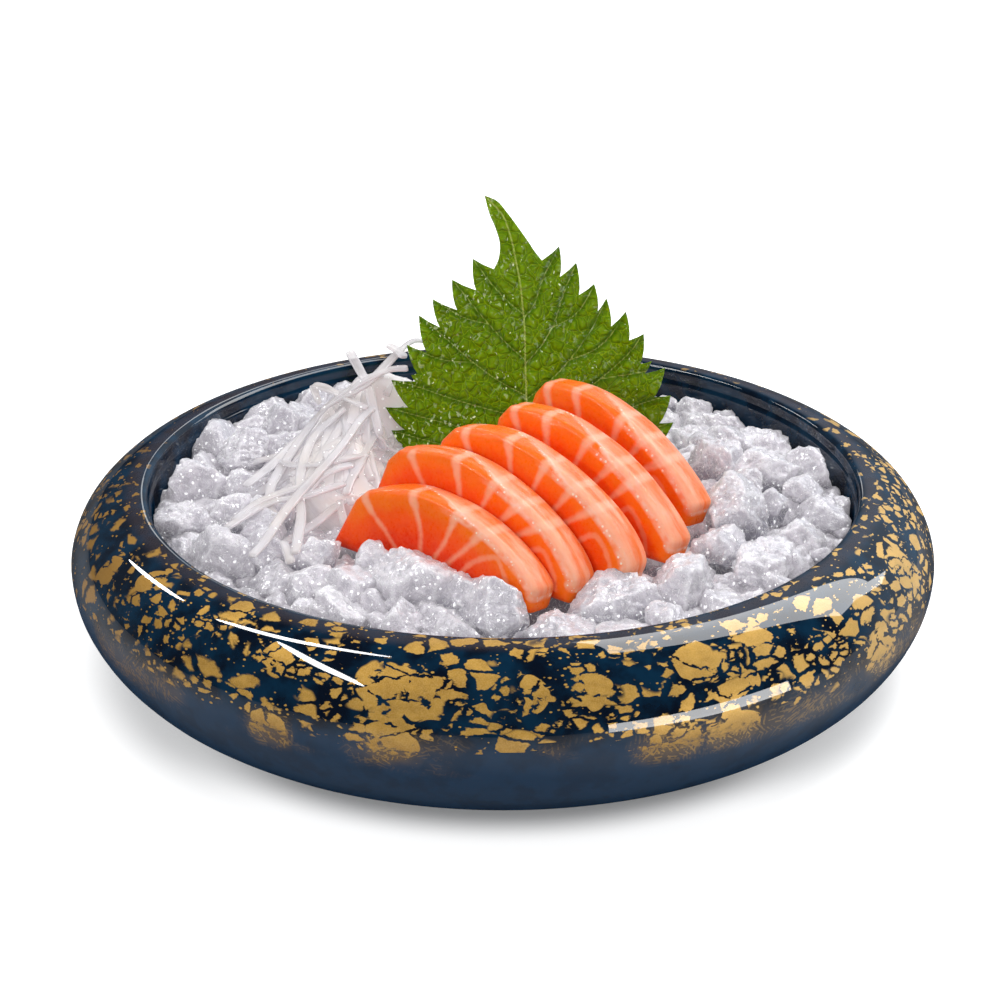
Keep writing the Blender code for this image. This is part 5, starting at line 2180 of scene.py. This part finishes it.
    @staticmethod
    def inside_bounds(path: np.ndarray) -> np.ndarray:
        """The part of a course that stays off the leaf, the slices and the wall.

        Args:
            path: the course's points.

        Returns:
            The points that are kept.
        """
        local = carried(path, undone(ShisoLeaf.plane()))
        behind = (local[:, 0] < -0.0335) | (np.abs(local[:, 1]) > 0.0016)
        hiding = (local[:, 0] > -0.0315) & (local[:, 1] < 0.0) & (local[:, 2] + 0.40 * local[:, 1] > 0.002)
        near = carried(path, undone(salmon_row()[0].place()))
        clear = (near[:, 0] < -0.0005) | (near[:, 1] < -0.001)
        fine = behind & ~hiding & clear & (np.linalg.norm(path[:, :2], axis=1) < 0.0865)
        if fine.all():
            return path
        groups = np.split(np.arange(len(path)), np.where(np.diff(fine.astype(int)) != 0)[0] + 1)
        kept = max((g for g in groups if fine[g[0]]), key=len, default=np.arange(3))
        return path[kept] if len(kept) >= 3 else path[:3]

    def loose_strands(self) -> list[Strand]:
        """The strands that are listed one by one."""
        paths = [smooth_course(np.array(points) * MM, 9) for points in self.loose]
        return [Strand(path, 0.0025, 0.0011, 0.5 - 0.07 * n, 700 + n) for n, path in enumerate(paths)]

    def laid(self, name: str, strands: list[Strand], finish: RadishFinish) -> bpy.types.Object:
        """Join strands into one piece.

        Args:
            name: the piece's name.
            strands: what it is made of.
            finish: their material.

        Returns:
            The piece.
        """
        places, faces, grains = [], [], []
        start = 0
        for strand in strands:
            body, rows, grain = strand.mesh()
            places.append(body)
            grains.append(grain)
            faces += [[number + start for number in row] for row in rows]
            start += len(body)
        LOG.info("%s: %d strands", name, len(strands))
        stored = {"grain": np.vstack(grains)}
        return make_piece(name, np.vstack(places), faces, finish, ("daikon",), stored)


# --------------------------------------------------------------------
# Studio
# --------------------------------------------------------------------


class Reach(Enum):
    """What a lamp lights: everything, only reflections in the glaze, or only the food."""

    ALL = "all"
    MIRRORED = "mirrored"
    FOOD = "food"


@dataclass
class Softbox:
    """A rectangular lamp that faces a point."""

    name: str
    middle: tuple[float, float, float]
    aim: tuple[float, float, float]
    width: float
    height: float
    radiance: float
    turn: float = 0.0  # degrees
    reach: Reach = Reach.ALL
    round: bool = False

    def build(self, food: bpy.types.Collection) -> None:
        """Hang the lamp.

        Args:
            food: the pieces that a lamp for the food alone lights.
        """
        lamp = bpy.data.lights.new(self.name, "AREA")
        lamp.shape = "ELLIPSE" if self.round else "RECTANGLE"
        lamp.size, lamp.size_y = self.width, self.height
        share = math.pi / 4 if self.round else 1.0
        lamp.energy = self.radiance * math.pi * self.width * self.height * share
        hung = bpy.data.objects.new(self.name, lamp)
        bpy.context.scene.collection.objects.link(hung)
        hung.location = self.middle
        toward = (Vector(self.aim) - Vector(self.middle)).to_track_quat("-Z", "Y").to_matrix()
        hung.rotation_euler = (toward @ Matrix.Rotation(math.radians(self.turn), 3, "Z")).to_euler()
        hung.visible_camera = False
        hung.visible_diffuse = self.reach is not Reach.MIRRORED
        if self.reach is Reach.FOOD:
            hung.light_linking.receiver_collection = food


@dataclass
class Studio:
    """Floor, soft light from all round, lamps and the camera."""

    food: list[bpy.types.Object]
    elevation: float = 23.9
    distance: float = 0.67
    aim: tuple[float, float, float] = (-0.0007, 0.0, 0.041)
    lens: float = 94.25
    floor_size: float = 12.0
    fill: float = 0.42  # soft light from all round
    lean: float = 0.42  # how much more of it comes from the front left
    dim: float = 0.10  # of the room as the glaze mirrors it
    finish: FloorFinish = field(default_factory=FloorFinish)

    def build(self) -> None:
        """Set everything up."""
        self.floor()
        self.room()
        lit = bpy.data.collections.new("lit_food")
        for piece in self.food:
            lit.objects.link(piece)
        for lamp in self.lamps():
            lamp.build(lit)
        self.camera()

    def floor(self) -> None:
        """A wide plain floor."""
        half, count = self.floor_size / 2, 24
        line = np.linspace(-half, half, count + 1)
        grid = [(x, y, 0.0) for y in line for x in line]
        wide = count + 1
        corners = [row * wide + col for row in range(count) for col in range(count)]
        faces = [(spot, spot + 1, spot + wide + 1, spot + wide) for spot in corners]
        mesh = bpy.data.meshes.new("studio_floor")
        mesh.from_pydata(grid, [], faces)
        mesh.materials.append(self.finish.material())
        floor = bpy.data.objects.new("studio_floor", mesh)
        bpy.context.scene.collection.objects.link(floor)

    def room(self) -> None:
        """The room's light: an even soft fill, and for the glaze to mirror a dim room with a paler back."""
        world = bpy.data.worlds.new("studio_room")
        bpy.context.scene.world = world
        world.use_nodes = True
        graph = Graph(world.node_tree)
        heading = graph.node("TexCoord", output="Generated")
        front = graph.vector("DOT_PRODUCT", heading, (-0.55, -0.75, 0.35))
        fill = front * self.lean + self.fill
        across, _, _ = graph.split(heading)
        back = graph.vector("DOT_PRODUCT", heading, (0.0, 0.906, -0.4226))
        paler = graph.band(across, -0.35, 0.35, 0.16, 0.75)
        mirrored = graph.most(self.dim, paler * graph.band(back, -0.03, 0.25))
        seen = graph.node("LightPath", output="Is Camera Ray")
        glossy = seen.other("Is Glossy Ray")
        backdrop = world.node_tree.nodes["Background"].inputs
        graph.put(backdrop["Color"], graph.mix(glossy, (0.98, 0.99, 1.0, 1.0), (0.72, 0.90, 1.10, 1.0)))
        graph.put(backdrop["Strength"], graph.blend(seen, graph.blend(glossy, fill, mirrored), 1.0))

    def lamps(self) -> list[Softbox]:
        """The softboxes.

        Returns:
            The lamps.
        """
        middle = (0.0, 0.0, 0.045)
        glaze, food = Reach.MIRRORED, Reach.FOOD
        return [
            self.overhead("key_overhead", 0.87, 0.60, 1.45, 0.62, 6.4, 12),
            self.overhead("key_tail", 1.82, 1.18, 0.90, 0.26, 6.4, 47, glaze),
            Softbox("food_sky", (-0.15, 1.15, 0.80), middle, 1.50, 0.80, 1.3, reach=food),
            Softbox("low_front", (0.40, -0.39, 0.045), middle, 0.46, 0.13, 11.0, reach=glaze),
            self.overhead("left_strip", -0.55, 0.20, 0.66, 0.075, 30.0, -27, glaze, True),
            self.overhead("left_far_strip", -1.15, 0.98, 0.90, 0.09, 30.0, -60, glaze, True),
            self.overhead("left_side_strip", -0.62, -0.28, 0.075, 0.80, 30.0, 0, glaze, True),
            Softbox("back_left", (-0.30, 2.80, 1.15), middle, 0.35, 0.30, 3.5, reach=glaze),
            Softbox("food_left", (-0.75, -0.25, 1.00), middle, 0.05, 0.05, 180.0, reach=food),
            Softbox("food_front", (-0.35, -1.00, 0.45), middle, 0.06, 0.05, 180.0, reach=food),
            Softbox("food_right", (0.60, -0.90, 0.80), middle, 0.05, 0.05, 180.0, reach=food),
        ]

    @staticmethod
    def overhead(name: str, x: float, y: float, *rest: object) -> Softbox:
        """A softbox a metre up that faces straight down; the rest are its values from the width on."""
        return Softbox(name, (x, y, 1.0), (x, y, 0.0), *rest)

    def camera(self) -> None:
        """The camera."""
        view = bpy.data.cameras.new("studio_camera")
        view.lens = self.lens
        view.sensor_width = 36.0
        view.clip_start = 0.01
        eye = bpy.data.objects.new("studio_camera", view)
        bpy.context.scene.collection.objects.link(eye)
        tilt = math.radians(self.elevation)
        back = Vector((0.0, -math.cos(tilt), math.sin(tilt)))
        eye.location = Vector(self.aim) + back * self.distance
        eye.rotation_euler = (-back).to_track_quat("-Z", "Y").to_euler()
        bpy.context.scene.camera = eye


def write_sizes() -> None:
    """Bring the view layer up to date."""
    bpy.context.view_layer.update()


def main() -> None:
    """Build every part in order."""
    logging.basicConfig(level=logging.INFO, format="%(message)s")
    bpy.context.scene.view_settings.view_transform = "Standard"
    slices = salmon_row()
    Bowl().build()
    parts = (CrushedIce(slices), *slices, ShisoLeaf(), ShreddedRadish())
    Studio([piece for part in parts for piece in part.build()]).build()
    write_sizes()


if __name__ == "__main__":
    main()
